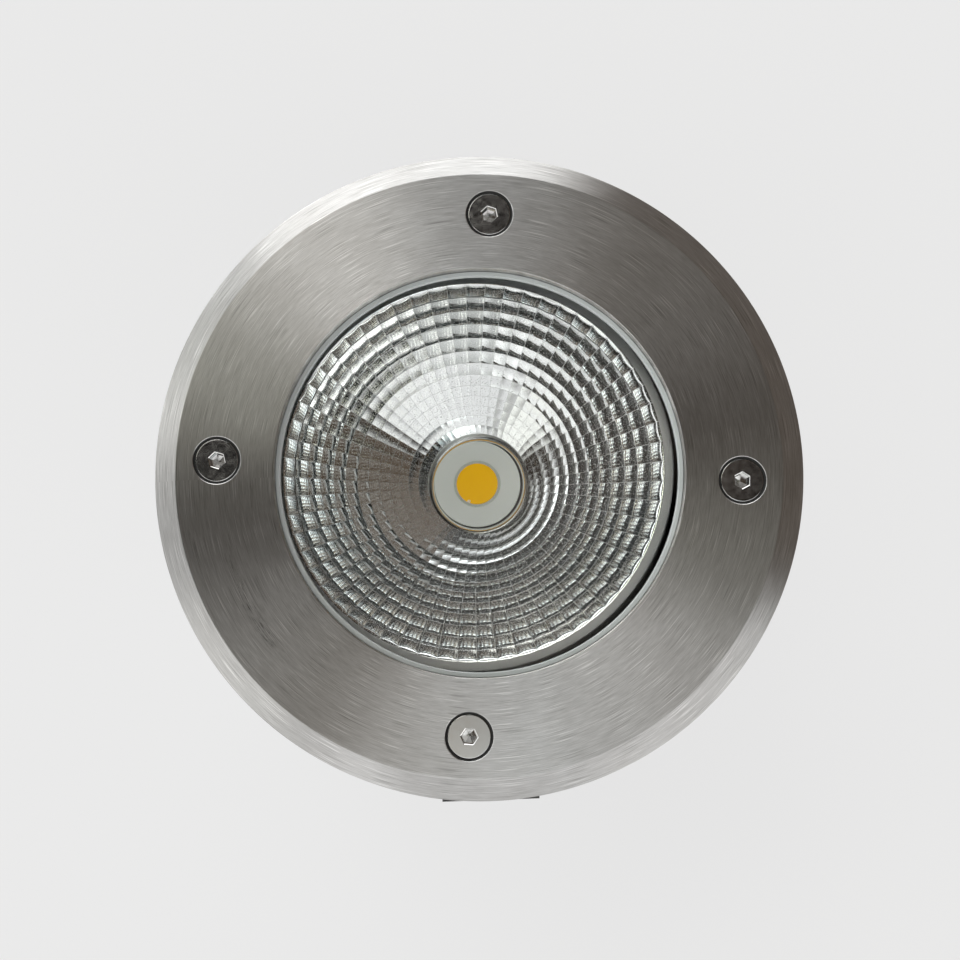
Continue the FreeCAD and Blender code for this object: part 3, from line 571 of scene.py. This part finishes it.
# %% Polish the screws and the reflector
SMEAR_SCALE = 700.0
SPECK_SCALE, SPECK_RANGE = 3200.0, (0.58, 0.66)
RIPPLE_SCALE = 520.0


def polished_screw():
    material, tree, shader = finish("screw_polished", (0.60, 0.595, 0.58), 1.0, 0.14)
    place = wire(tree, "ShaderNodeTexCoord").outputs["Object"]
    smear = noise(tree, place, SMEAR_SCALE, detail=3.0)
    vary_roughness(tree, shader, smear, smooth=0.08, dull=0.28)
    bump(tree, shader, smear, distance_mm=0.001)
    return material


def bright_reflector():
    material, tree, shader = finish("bright_reflector", (0.90, 0.905, 0.90), 1.0, 0.03)
    seam = use(tree, facet_seams, Width=0.035)["Mask"]
    place = wire(tree, "ShaderNodeTexCoord").outputs["Object"]
    specks = remap(tree, noise(tree, place, SPECK_SCALE, detail=1.0), *SPECK_RANGE)
    vary_roughness(tree, shader, math_node(tree, "MAXIMUM", seam, specks), smooth=0.025,
                   dull=0.45)
    bump(tree, shader, noise(tree, place, RIPPLE_SCALE, detail=1.0), distance_mm=0.010)
    return material


finishes["screw_polished"] = polished_screw()
finishes["reflector_bright"] = bright_reflector()
print("made:", finishes["screw_polished"].name, "and", finishes["reflector_bright"].name)

# %% [markdown]
# Glass and clear silicone let all light through and differ in how strongly they bend it. The
# phosphor turns the blue in any light on it to yellow. It also gets a fixed emission, a painted
# glow that makes it brighter than the light on it would, although the lamp is off. The white
# disc lies deep in the bowl. A little emission stands in for the light that the facets focus
# on it, most of which a path tracer drops.

# %% Make the clear and glowing finishes
GLASS_BENDS, SILICONE_BENDS = 1.5, 1.41


def clear_glass():
    return finish("clear_glass", (0.985, 1.0, 0.99), 0.0, 0.0, IOR=GLASS_BENDS,
                  Transmission_Weight=1.0)[0]


def dam_silicone():
    return finish("dam_silicone", (0.86, 0.87, 0.85), 0.0, 0.04, IOR=SILICONE_BENDS,
                  Transmission_Weight=1.0)[0]


def phosphor_gel():
    # the emission is a painted glow, which makes the dot brighter than the light on it would
    material, tree, shader = finish(
        "phosphor_gel", (0.98, 0.56, 0.003), 0.0, 0.45, Specular_IOR_Level=0.2,
        Emission_Color=(1.0, 0.50, 0.0), Emission_Strength=0.36)
    bump(tree, shader, use(tree, fine_grain, Scale=2600.0)["Grain"], distance_mm=0.01)
    return material


def source_disc_white():
    material, tree, shader = finish(
        "substrate", (0.95, 0.965, 0.92), 0.0, 0.40, Emission_Color=(0.95, 1.0, 0.92),
        Emission_Strength=0.15)
    bump(tree, shader, use(tree, fine_grain, Scale=3000.0)["Grain"], distance_mm=0.004)
    return material


finishes.update({"clear_glass": clear_glass(), "dam_gel": dam_silicone(),
                 "phosphor_gel": phosphor_gel(), "substrate": source_disc_white()})
print("finishes in all:", len(finishes))

# %% [markdown]
# Each node of the frame is given the finish of its own material slot. Where a finer piece
# takes its place below, the node is hidden and the piece takes the same finish. Only the
# bezel's screws differ: their heads are more polished than the screws inside.

# %% Dress the frame's nodes
node_slots = {part["node"]: part["material_slot"] for part in frame["record"]["subparts"]}
for name, node in nodes.items():
    for place in node.material_slots:
        place.material = finishes[node_slots[name]]
print("dressed:", len(node_slots), "nodes")

# %% [markdown]
# ## Tools for turned pieces
# Most visible pieces are turned on a lathe, so they start as a closed outline of radius and
# height. Real edges are never knife sharp, and it is the small rounding that catches the
# light, so the outline's corners are rounded before it is turned.

# %% Round an outline


def rounded(outline, radii, steps=4):
    """Rounds each corner of a closed outline by its own radius, 0 leaving it sharp."""
    result = []
    count = len(outline)
    for index, radius in enumerate(radii):
        before, corner, after = (Vector(outline[(index + shift) % count])
                                 for shift in (-1, 0, 1))
        if radius == 0:
            result.append(tuple(corner))
            continue
        to_before = (before - corner).normalized()
        to_after = (after - corner).normalized()
        half = math.acos(max(-1.0, min(1.0, to_before.dot(to_after)))) / 2
        reach = radius / math.tan(half)
        centre = corner + (to_before + to_after).normalized() * (radius / math.sin(half))
        start = corner + to_before * reach - centre
        sweep = math.pi - 2 * half
        sign = 1 if to_before.x * to_after.y - to_before.y * to_after.x < 0 else -1
        for step in range(steps + 1):
            angle = sign * sweep * step / steps
            result.append((centre.x + start.x * math.cos(angle) - start.y * math.sin(angle),
                           centre.y + start.x * math.sin(angle) + start.y * math.cos(angle)))
    return result


square = [(0, 0), (1, 0), (1, 1), (0, 1)]
print("a square with one round corner has", len(rounded(square, [0, 0, 0.2, 0])), "points")

# %% [markdown]
# A lathe in Blender makes one ring of points for each point of the outline and joins the rings
# with faces. On the axis a ring shrinks to a single point, and its faces become triangles.

# %% Make the lathe
ON_AXIS = 1e-6
# steps round the bezel, the other wide rings, most pieces, the screws and small holes
BEZEL_STEPS, WIDE_STEPS, LATHE_STEPS, SCREW_STEPS, HOLE_STEPS = 360, 240, 192, 96, 32


def ring_of_points(mesh, radius, height, count, turn=0.0):
    """Adds a ring about Z, in millimetres. A radius of 0 gives one point, count times."""
    if radius < ON_AXIS:
        return [mesh.verts.new((0, 0, height * MM))] * count
    angles = [turn + 2 * math.pi * step / count for step in range(count)]
    return [mesh.verts.new((radius * MM * math.cos(angle), radius * MM * math.sin(angle),
                            height * MM)) for angle in angles]


def join_rings(mesh, first, second):
    """Closes the band between two rings with faces of three or four corners."""
    count = len(first)
    for step in range(count):
        corners = []
        for vert in (first[step], first[(step + 1) % count], second[(step + 1) % count],
                     second[step]):
            if vert not in corners:
                corners.append(vert)
        if len(corners) > 2:
            mesh.faces.new(corners)


def turned_mesh(outline, count=LATHE_STEPS):
    """Turns a closed outline about Z."""
    mesh = bmesh.new()
    rings = [ring_of_points(mesh, radius, height, count) for radius, height in outline]
    for first, second in zip(rings, rings[1:] + rings[:1]):
        join_rings(mesh, first, second)
    bmesh.ops.recalc_face_normals(mesh, faces=mesh.faces)
    return mesh


def moved(mesh, matrix):
    bmesh.ops.transform(mesh, matrix=matrix, verts=mesh.verts)
    return mesh


def slid(x, y=0.0):
    """A move sideways, in millimetres."""
    return Matrix.Translation((x * MM, y * MM, 0))


trial = turned_mesh([(0, 0), (1, 0), (1, 1), (0, 1)])
print("a turned drum has", len(trial.faces), "faces")
trial.free()

# %% [markdown]
# A mesh becomes a piece of the light when it has a name, a finish, and a body of the frame
# that it rides on when a joint moves.

# %% Make the tool for a finished piece


def make_piece(name, mesh, material, body, at=None, smooth_degrees=30, level=False):
    """Turns a bmesh into a finished piece that rides on a body. A level piece keeps its
    large faces flat in the shading, so that only the small roundings look round."""
    data = bpy.data.meshes.new(name)
    mesh.to_mesh(data)
    mesh.free()
    data.shade_smooth()
    data.set_sharp_from_angle(angle=math.radians(smooth_degrees))
    data.materials.append(material)
    piece = bpy.data.objects.new(name, data)
    scene.collection.objects.link(piece)
    if at is not None:
        piece.matrix_world = at
    if level:
        weighted = piece.modifiers.new("level_faces", "WEIGHTED_NORMAL")
        weighted.keep_sharp = True
    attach(piece, body)
    print(name, len(data.polygons), "faces")
    return piece


# %% [markdown]
# ## Cutting holes
# The bezel's countersinks and the screws' sockets are cut with a Boolean, whose result is
# kept as a plain mesh. That is how they are made in the workshop too: turn first, then drill.

# %% Make the cutting tool
CUT_PAST = 1.0    # how far a cutter runs past the face it cuts


def mesh_object(name, mesh):
    data = bpy.data.meshes.new(name)
    mesh.to_mesh(data)
    mesh.free()
    helper = bpy.data.objects.new(name, data)
    scene.collection.objects.link(helper)
    return helper


def cut_mesh(mesh, cutters):
    """Subtracts the cutters, each a bmesh, and gives back the result as a bmesh."""
    blank = mesh_object("blank", mesh)
    tools = [mesh_object("tool", cutter) for cutter in cutters]
    for tool in tools:
        modifier = blank.modifiers.new("cut", "BOOLEAN")
        modifier.object = tool
        modifier.solver = "EXACT"
    graph = bpy.context.evaluated_depsgraph_get()
    result = bmesh.new()
    result.from_mesh(blank.evaluated_get(graph).data)
    for helper in [blank] + tools:
        bpy.data.objects.remove(helper)
    return result


print("cutters run", CUT_PAST, "mm past a face")

# %% [markdown]
# ## The bezel
# A stainless ring, bevelled down to a thin outer edge, with four countersunk holes. The outer
# bevel is the brightest thing in the picture at the top and the darkest at the right, so its
# slope matters more than any texture. A sink is a cone at 45 degrees, which flares a little
# at the top, because the tool broke its edge.

# %% Make the bezel
BEZEL_TOP, BEZEL_UNDER = 160.0, 156.0
BEZEL_R, BEZEL_BORE_R = 90.0, 56.8
BEVEL_WIDE, BEVEL_HIGH = 6.25, 3.2
LAMP_TURN = math.radians(-4.2)
SCREW_CIRCLE_R = 72.5
SINK_R, HOLE_R = 6.7, 3.3
SINK_EDGE, SINK_FLARE, SINK_RUN_OUT = 0.1, 0.06, 0.6
screw_places = [Matrix.Rotation(LAMP_TURN + math.pi / 2 * (index + 1), 4, "Z")
                @ slid(SCREW_CIRCLE_R) for index in range(4)]

bezel_outline = rounded(
    [(BEZEL_BORE_R, BEZEL_UNDER), (BEZEL_R, BEZEL_UNDER), (BEZEL_R, BEZEL_TOP - BEVEL_HIGH),
     (BEZEL_R - BEVEL_WIDE, BEZEL_TOP), (BEZEL_BORE_R, BEZEL_TOP)],
    [0.1, 0.1, 0.25, 0.8, 0.25])
sink_outline = [
    (0, BEZEL_UNDER - CUT_PAST), (HOLE_R, BEZEL_UNDER - CUT_PAST),
    (HOLE_R, BEZEL_TOP - (SINK_R - HOLE_R)), (SINK_R - SINK_EDGE, BEZEL_TOP - SINK_EDGE),
    (SINK_R + SINK_FLARE, BEZEL_TOP), (SINK_R + CUT_PAST, BEZEL_TOP + SINK_RUN_OUT),
    (0, BEZEL_TOP + SINK_RUN_OUT)]
sinks = [moved(turned_mesh(sink_outline, SCREW_STEPS), place) for place in screw_places]
bezel_mesh = cut_mesh(turned_mesh(bezel_outline, BEZEL_STEPS), sinks)
bezel = make_piece("bezel_ring", bezel_mesh, finishes["stainless"], "lamp",
                   level=True)
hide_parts("bezel")

# %% [markdown]
# The sinks round the heads lie in shadow, and that shade is painted in: the faces there get a
# second material, a near black.

# %% Paint shade into the sinks
SHADE_BELOW = 0.06
# the second material is painted shade, for the shadow that falls in the sinks
bezel.data.materials.append(finishes["sink_painted_shade"])
screw_centres = [place.to_translation().xy for place in screw_places]
for face in bezel.data.polygons:
    inside = any((face.center.xy - centre).length < SINK_R * MM for centre in screw_centres)
    if inside and face.center.z < (BEZEL_TOP - SHADE_BELOW) * MM:
        face.material_index = 1
print("shaded faces:", sum(face.material_index for face in bezel.data.polygons))

# %% [markdown]
# ## The screws
# Each head is turned, then its hexagon socket is pressed in down to a drill point. Every
# socket stopped at its own angle when the screw was tightened.

# %% Shape the screws
HEAD_R, HEAD_EDGE, HEAD_ROUND = 5.97, 0.3, 0.29
THREAD_R, THREAD_LONG, THREAD_END_ROUND = 3.0, 14.0, 0.5
SOCKET_FLATS, SOCKET_DEEP = 4.0, 2.2
SOCKET_FLARE, SOCKET_EDGE = 0.22, 0.16
DRILL_POINT, DRILL_POINT_R, DRILL_SHARE = 1.1, 0.05, 0.86
SOCKET_TURNS = (14.2, 46.2, 27.7, 30.2)
seat = BEZEL_TOP - (SINK_R - HEAD_R)
head_top = seat + HEAD_EDGE
neck = seat - (HEAD_R - THREAD_R)
screw_outline = rounded(
    [(0, neck - THREAD_LONG), (THREAD_R, neck - THREAD_LONG), (THREAD_R, neck),
     (HEAD_R, seat), (HEAD_R, head_top), (0, head_top)],
    [0, THREAD_END_ROUND, 0, 0, HEAD_ROUND, 0])


def socket_cutter(turn):
    """The punch, from its drill point up to past the head, turned about its own axis."""
    corner = SOCKET_FLATS / math.sqrt(3)
    floor_at = head_top - SOCKET_DEEP
    flare_past = CUT_PAST * SOCKET_FLARE / SOCKET_EDGE
    levels = [(DRILL_POINT_R, floor_at - DRILL_POINT), (corner * DRILL_SHARE, floor_at),
              (corner, floor_at), (corner, head_top - SOCKET_EDGE),
              (corner + SOCKET_FLARE, head_top),
              (corner + SOCKET_FLARE + flare_past, head_top + CUT_PAST)]
    mesh = bmesh.new()
    rings = [ring_of_points(mesh, radius, height, 6, turn) for radius, height in levels]
    for first, second in zip(rings, rings[1:]):
        join_rings(mesh, first, second)
    mesh.faces.new(rings[0][::-1])
    mesh.faces.new(rings[-1])
    bmesh.ops.recalc_face_normals(mesh, faces=mesh.faces)
    return mesh


print("screw head", 2 * HEAD_R, "mm across, socket", SOCKET_FLATS, "mm")

# %% [markdown]
# The Boolean leaves the flat top of a head in many thin faces. Dissolving those that lie in
# one plane lets the shading treat the top as one face.

# %% Make the bezel's screws
ONE_PLANE = math.radians(0.5)
for index, (place, turn) in enumerate(zip(screw_places, SOCKET_TURNS), start=1):
    screw_mesh = cut_mesh(turned_mesh(screw_outline, SCREW_STEPS),
                          [socket_cutter(math.radians(turn))])
    bmesh.ops.dissolve_limit(screw_mesh, angle_limit=ONE_PLANE, verts=screw_mesh.verts,
                             edges=screw_mesh.edges)
    screw = make_piece(f"bezel_screw_{index}", moved(screw_mesh, place),
                       finishes["screw_polished"], "lamp", level=True)
    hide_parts("bezel_screws")

# %% [markdown]
# ## The gasket
# A pale silicone gasket grips the glass's edge. Only a thin bead of it shows in the bore, but
# its lip under the bezel is what the reflector's rim mirrors, so its colour matters twice.

# %% Make the gasket
BEAD_R, BEAD_TOP = 55.35, 156.6
BORE_GAP = 0.15
GLASS_R, GLASS_UNDER, GLASS_TOP = 63.4, 147.0, 155.0
GLASS_GAP = 0.1
GASKET_WALL, GASKET_FLOOR = 1.5, 1.0
SEAT_BORE_R, SEAT_GAP = 60.0, 0.2
groove_r = GLASS_R + GLASS_GAP
gasket_r = groove_r + GASKET_WALL
lip_r = SEAT_BORE_R + SEAT_GAP
bead_outer_r = BEZEL_BORE_R - BORE_GAP
gasket_outline = rounded(
    [(BEAD_R, GLASS_TOP), (groove_r, GLASS_TOP), (groove_r, GLASS_UNDER),
     (lip_r, GLASS_UNDER), (lip_r, GLASS_UNDER - GASKET_FLOOR),
     (gasket_r, GLASS_UNDER - GASKET_FLOOR), (gasket_r, BEZEL_UNDER),
     (bead_outer_r, BEZEL_UNDER), (bead_outer_r, BEAD_TOP), (BEAD_R, BEAD_TOP)],
    [0, 0, 0, 0, 0.2, 0.3, 0.2, 0, 0.1, 0.35])
gasket = make_piece("gasket_ring", turned_mesh(gasket_outline, WIDE_STEPS),
                    finishes["gasket_rubber"], "lamp", level=True)
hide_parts("glass_gasket")

# %% [markdown]
# ## The reflector
# The bowl is a parabola cut into 13 rings of small facets. Each facet is a little pillow,
# bulging towards the axis, so that it spreads the light and breaks the reflection into a
# bright and a dark half. The pillows meet in sharp valleys. No two facets share a point, and
# so the shading keeps the valleys sharp. The rings are not evenly wide, and their centres
# drift off the axis, so the edge of each one is listed with both its radius and its drift.

# %% Work out the bowl
APERTURE_R, MOUTH_R, BOWL_HIGH = 15.6, 55.0, 30.0
SECTORS = 60
# radius of each ring's edge, and how far its centre is off the bowl's axis
RING_EDGES = ((15.6, 0.5), (17.9, 1.1), (20.6, 1.4), (23.3, 1.5), (26.1, 1.55), (29.0, 1.6),
              (32.0, 1.6), (35.1, 1.55), (38.3, 1.45), (41.7, 1.25), (45.2, 1.05),
              (48.6, 0.8), (51.9, 0.45), (55.0, 0.0))
RINGS = len(RING_EDGES) - 1
FACET_PHASE = math.radians(1.8)
LEDGE = 0.25
PIVOT = Vector((0.0806, 1.0970, 109.0)) * MM
LEAN_BEARING, LEAN = math.radians(-32.0), math.radians(-5.0)
optic_place = (Matrix.Translation(PIVOT) @ Matrix.Rotation(LEAN_BEARING, 4, "Z")
               @ Matrix.Rotation(LEAN, 4, "Y"))


def bowl_height(radius):
    return BOWL_HIGH * (radius ** 2 - APERTURE_R ** 2) / (MOUTH_R ** 2 - APERTURE_R ** 2)


def bowl_corner(radius, height, step, drift=0.0):
    angle = FACET_PHASE + 2 * math.pi * step / SECTORS
    return Vector((radius * math.cos(angle) - drift, radius * math.sin(angle), height))


print("rings:", RINGS, "of", SECTORS, "facets")

# %% [markdown]
# A facet starts as the flat patch between its four corners. Every point of it is then lifted
# along the patch's normal, by as much as a ball of PILLOW_R would stand above its edges.

# %% Make the rings of pillows
PILLOW_GRID = 6
PILLOW_R = 34.0


def pillow_point(ring, sector, u, v):
    """A point of one facet: u runs up the bowl and v round it, both 0 to 1."""
    (low_r, low_drift), (high_r, high_drift) = RING_EDGES[ring:ring + 2]
    low_z, high_z = bowl_height(low_r), bowl_height(high_r)
    if ring == RINGS - 1:
        low_r += LEDGE
    low = [bowl_corner(low_r, low_z, sector + side, low_drift) for side in (0, 1)]
    high = [bowl_corner(high_r, high_z, sector + side, high_drift) for side in (0, 1)]
    flat = low[0].lerp(low[1], v).lerp(high[0].lerp(high[1], v), u)
    normal = (low[1] - low[0]).cross(high[0] - low[0]).normalized()
    if normal.z < 0:
        normal.negate()
    tall = (high[0] - low[0]).length
    wide = (low[1] - low[0]).lerp(high[1] - high[0], u).length
    swell = (tall ** 2 * (1 - (2 * u - 1) ** 2)
             + wide ** 2 * (1 - (2 * v - 1) ** 2)) / (8 * PILLOW_R)
    return flat + normal * swell


def grid_faces(mesh, uv_layer, rows, uvs):
    """Fills a grid of points, in millimetres, with quads and writes their UVs."""
    verts = [[mesh.verts.new(point * MM) for point in row] for row in rows]
    for i in range(len(rows) - 1):
        for j in range(len(rows[0]) - 1):
            corners = ((i, j), (i, j + 1), (i + 1, j + 1), (i + 1, j))
            face = mesh.faces.new([verts[a][b] for a, b in corners])
            for loop, (a, b) in zip(face.loops, corners):
                loop[uv_layer].uv = uvs(a, b)


bowl = bmesh.new()
facet_uv = bowl.loops.layers.uv.new(FACET_MAP)
shares = [step / PILLOW_GRID for step in range(PILLOW_GRID + 1)]
for ring in range(RINGS - 1):
    for sector in range(SECTORS):
        grid_faces(bowl, facet_uv,
                   [[pillow_point(ring, sector, u, v) for v in shares] for u in shares],
                   lambda a, b: (shares[a], shares[b]))
print("bowl so far:", len(bowl.faces), "faces")

# %% [markdown]
# The last ring is cut apart from the others by a narrow ledge, which mirrors the dark roof as
# a thin line. Its upper edge rolls over into the flat rim. The roll starts lower in the middle
# of each facet, and that is what makes the scalloped bright line round the mouth. The roll is
# a curve drawn towards one corner point, which it never reaches.

# %% Roll the last ring over into the rim
ROLL_STEPS = 5
ROLL_SHARE = 0.05
SCALLOP = 0.11
RIM_ROOT_R = MOUTH_R + 0.35
MID_FACET = 0.5


def rolled_column(sector, v):
    """Points up one last-ring facet, over its roll and onto the rim."""
    top = 1 - ROLL_SHARE - SCALLOP * (1 - (2 * v - 1) ** 2)
    column = [pillow_point(RINGS - 1, sector, u * top, v) for u in shares]
    start = column[-1]
    turn_at = bowl_corner(MOUTH_R, BOWL_HIGH, sector + v)
    end = bowl_corner(RIM_ROOT_R, BOWL_HIGH, sector + v)
    for step in range(1, ROLL_STEPS + 1):
        t = step / ROLL_STEPS
        column.append(start * (1 - t) ** 2 + turn_at * 2 * t * (1 - t) + end * t ** 2)
    return column


for sector in range(SECTORS):
    columns = [rolled_column(sector, v) for v in shares]
    rows = [[column[i] for column in columns] for i in range(len(columns[0]))]
    grid_faces(bowl, facet_uv, rows,
               lambda a, b: (min(shares[min(a, PILLOW_GRID)], MID_FACET), shares[b]))
    ledge_in = [pillow_point(RINGS - 2, sector, 1, v) for v in shares]
    ledge_out = [pillow_point(RINGS - 1, sector, 0, v) for v in shares]
    grid_faces(bowl, facet_uv, [ledge_in, ledge_out], lambda a, b: (MID_FACET, MID_FACET))
facets = make_piece("reflector_facets", bowl, finishes["reflector_bright"], "optic",
                    optic_place, smooth_degrees=60)
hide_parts("reflector")

# %% [markdown]
# The bowl's shell and its flat rim with a short skirt are one turned piece behind the facets.
# Its outline runs up the back of the bowl, round the rim, and down again behind the facets.

# %% Make the reflector's shell
NECK_HIGH = 4.2
RIM_WIDE, RIM_THICK, SKIRT = 3.0, 1.2, 3.2
RIM_ROUND, RIM_ROUND_STEPS = 0.35, 4
SHELL_BORE_R, SHELL_NECK_R = APERTURE_R + 1.0, APERTURE_R + 2.0
UNDER_RIM_R = MOUTH_R + 0.4
BACK_FOOT, FRONT_FOOT = -1.9, -1.2
# how far the shell's back and front lie outside and below the facets
BACK_OUT, BACK_BELOW = 1.6, 2.5
FRONT_OUT, FRONT_BELOW = 1.0, 1.4
back_radii = [19.0 + 3.1 * step for step in range(1, 11)]
front_radii = (53.0, 49.0, 44.0, 38.0, 32.0, 26.0, 20.0)
rim_r = MOUTH_R + RIM_WIDE
skirt_bore_r = rim_r - RIM_THICK

shell_outline = [(SHELL_BORE_R, -NECK_HIGH), (SHELL_NECK_R, -NECK_HIGH),
                 (SHELL_NECK_R, BACK_FOOT)]
shell_outline += [(radius + BACK_OUT, bowl_height(radius) - BACK_BELOW)
                  for radius in back_radii]
shell_outline += [(UNDER_RIM_R, BOWL_HIGH - RIM_THICK),
                  (skirt_bore_r, BOWL_HIGH - RIM_THICK), (skirt_bore_r, BOWL_HIGH - SKIRT),
                  (rim_r, BOWL_HIGH - SKIRT)]
for step in range(RIM_ROUND_STEPS + 1):
    angle = math.pi / 2 * step / RIM_ROUND_STEPS
    shell_outline.append((rim_r - RIM_ROUND * (1 - math.cos(angle)),
                          BOWL_HIGH - RIM_ROUND * (1 - math.sin(angle))))
shell_outline += [(RIM_ROOT_R, BOWL_HIGH), (RIM_ROOT_R, BOWL_HIGH - RIM_THICK / 2)]
shell_outline += [(radius + FRONT_OUT, bowl_height(radius) - FRONT_BELOW)
                  for radius in front_radii]
shell_outline += [(SHELL_BORE_R, FRONT_FOOT)]
shell = make_piece("reflector_shell", turned_mesh(shell_outline, WIDE_STEPS),
                   finishes["reflector_bright"], "optic", optic_place,
                   level=True)
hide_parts("reflector")

# %% [markdown]
# Below the first ring the bowl ends in a short neck that stands round the light source. It
# follows the drift of that ring, so that the two meet.

# %% Make the reflector's neck
NECK_WALL, NECK_TAPER, NECK_GAP = 1.3, 0.9, 0.02
neck_outline = [(APERTURE_R, -NECK_HIGH), (APERTURE_R + NECK_WALL, -NECK_HIGH),
                (APERTURE_R + NECK_WALL, -NECK_TAPER), (APERTURE_R + NECK_GAP, -NECK_GAP)]
neck_place = optic_place @ slid(-RING_EDGES[0][1])
reflector_neck = make_piece(
    "reflector_neck", turned_mesh(neck_outline, WIDE_STEPS), finishes["reflector_bright"],
    "optic", neck_place)
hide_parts("reflector")

# %% [markdown]
# ## The light source
# A white disc carries a round dot of yellow phosphor. The gel did not flow quite round at one
# spot, so a small bite is missing from the dot's edge.

# %% Make the disc and the dot
DISC_UNDER, DISC_TOP, DISC_R = -5.2, -3.7, 13.4
DISC_SLID = -1.15
DOT_R, DOT_HIGH = 6.4, 0.4
# the dot's rounded edge: how far in from its side, and how far above the disc
DOT_EDGE = ((0, 0.22), (0.12, 0.33), (0.5, 0.38))
FILM = 0.001    # keeps two pieces from sharing one plane
BITE_R, BITE_AT_R, BITE_BEARING, BITE_STEPS = 0.55, 6.1, math.radians(-85.0), 24
disc_place = optic_place @ slid(DISC_SLID)
disc_outline = rounded([(0, DISC_UNDER), (DISC_R, DISC_UNDER), (DISC_R, DISC_TOP),
                        (0, DISC_TOP)], [0, 0.1, 0.12, 0])
disc = make_piece("source_disc", turned_mesh(disc_outline), finishes["substrate"], "optic",
                  disc_place)
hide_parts("cob_base")

dot_outline = [(0, DISC_TOP + FILM), (DOT_R, DISC_TOP + FILM)]
dot_outline += [(DOT_R - inward, DISC_TOP + above) for inward, above in DOT_EDGE]
dot_outline += [(0, DISC_TOP + DOT_HIGH)]
bite = turned_mesh([(0, DISC_TOP - CUT_PAST), (BITE_R, DISC_TOP - CUT_PAST),
                    (BITE_R, DISC_TOP + CUT_PAST), (0, DISC_TOP + CUT_PAST)], BITE_STEPS)
bite_at = slid(BITE_AT_R * math.cos(BITE_BEARING), BITE_AT_R * math.sin(BITE_BEARING))
dot = make_piece("phosphor_dot", cut_mesh(turned_mesh(dot_outline), [moved(bite, bite_at)]),
                 finishes["phosphor_gel"], "optic", disc_place)
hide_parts("phosphor")

# %% [markdown]
# The gel was poured into a dam of clear silicone, a round bead that was drawn on the disc as
# a ring. Seen from above it is a pale line round the dot.

# %% Make the dam
DAM_WIDE, DAM_HIGH, DAM_FOOT = 0.95, 0.85, 0.1
DAM_STEPS = 8
DAM_TUCK = 0.97    # the bead is a little narrower than its foot
dam_outline = [(DOT_R + 0.01, DISC_TOP + FILM)]
for step in range(DAM_STEPS + 1):
    angle = math.pi * step / DAM_STEPS
    dam_outline.append((DOT_R + DAM_WIDE / 2 - DAM_WIDE / 2 * math.cos(angle) * DAM_TUCK,
                        DISC_TOP + DAM_FOOT + (DAM_HIGH - DAM_FOOT) * math.sin(angle)))
dam_outline.append((DOT_R + DAM_WIDE, DISC_TOP + FILM))
dam = make_piece("dam_ring", turned_mesh(dam_outline[::-1]), finishes["dam_gel"], "optic",
                 disc_place)
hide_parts("phosphor_dam")

# %% [markdown]
# A bright collar clamps the disc. Its flared inside mirrors the dot, which is why a thin
# orange ring runs round the disc.

# %% Make the bright collar
COLLAR_BORE_R, COLLAR_OUTER_R = 13.85, 14.85
COLLAR_HIGH, COLLAR_LIFT = 1.0, 0.2
EDGE_IN, EDGE_DOWN = 0.04, 0.06
COLLAR_SLID = -0.7
# the flare's points: how far outside the bore, and how far above the disc
FLARE = ((0, 0.05), (0.28, 0.40), (0.60, 0.76), (0.86, COLLAR_HIGH))
collar_foot, collar_top = DISC_UNDER + COLLAR_LIFT, DISC_TOP + COLLAR_HIGH
collar_outline = [(COLLAR_BORE_R, collar_foot)]
collar_outline += [(COLLAR_BORE_R + out, DISC_TOP + above) for out, above in FLARE]
collar_outline += [(COLLAR_OUTER_R - EDGE_IN, collar_top),
                   (COLLAR_OUTER_R, collar_top - EDGE_DOWN), (COLLAR_OUTER_R, collar_foot)]
collar = make_piece("source_collar", turned_mesh(collar_outline[::-1]),
                    finishes["holder_bright"], "optic",
                    optic_place @ slid(COLLAR_SLID))
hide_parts("cob_holder")

# %% [markdown]
# A flange with two screw holes holds the collar on the heat sink. It lies under the reflector
# and hardly shows, but without it the collar would hang in the air.

# %% Make the collar's flange
FLANGE_R, FLANGE_THICK = 22.0, 1.0
FLANGE_BORE_R = COLLAR_BORE_R + 0.1
HOLDER_SCREW_R, HOLDER_HOLE_R = 20.1, 1.7
flange_top = DISC_UNDER + FLANGE_THICK
flange_outline = rounded([(FLANGE_BORE_R, DISC_UNDER), (FLANGE_R, DISC_UNDER),
                          (FLANGE_R, flange_top), (FLANGE_BORE_R, flange_top)],
                         [0.1, 0.15, 0.15, 0.1])
hole_outline = [(0, DISC_UNDER - CUT_PAST), (HOLDER_HOLE_R, DISC_UNDER - CUT_PAST),
                (HOLDER_HOLE_R, 0), (0, 0)]
screw_holes = [moved(turned_mesh(hole_outline, HOLE_STEPS), slid(0, side * HOLDER_SCREW_R))
               for side in (-1, 1)]
flange = make_piece("collar_flange", cut_mesh(turned_mesh(flange_outline), screw_holes),
                    finishes["holder_bright"], "optic", optic_place)
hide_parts("cob_holder")
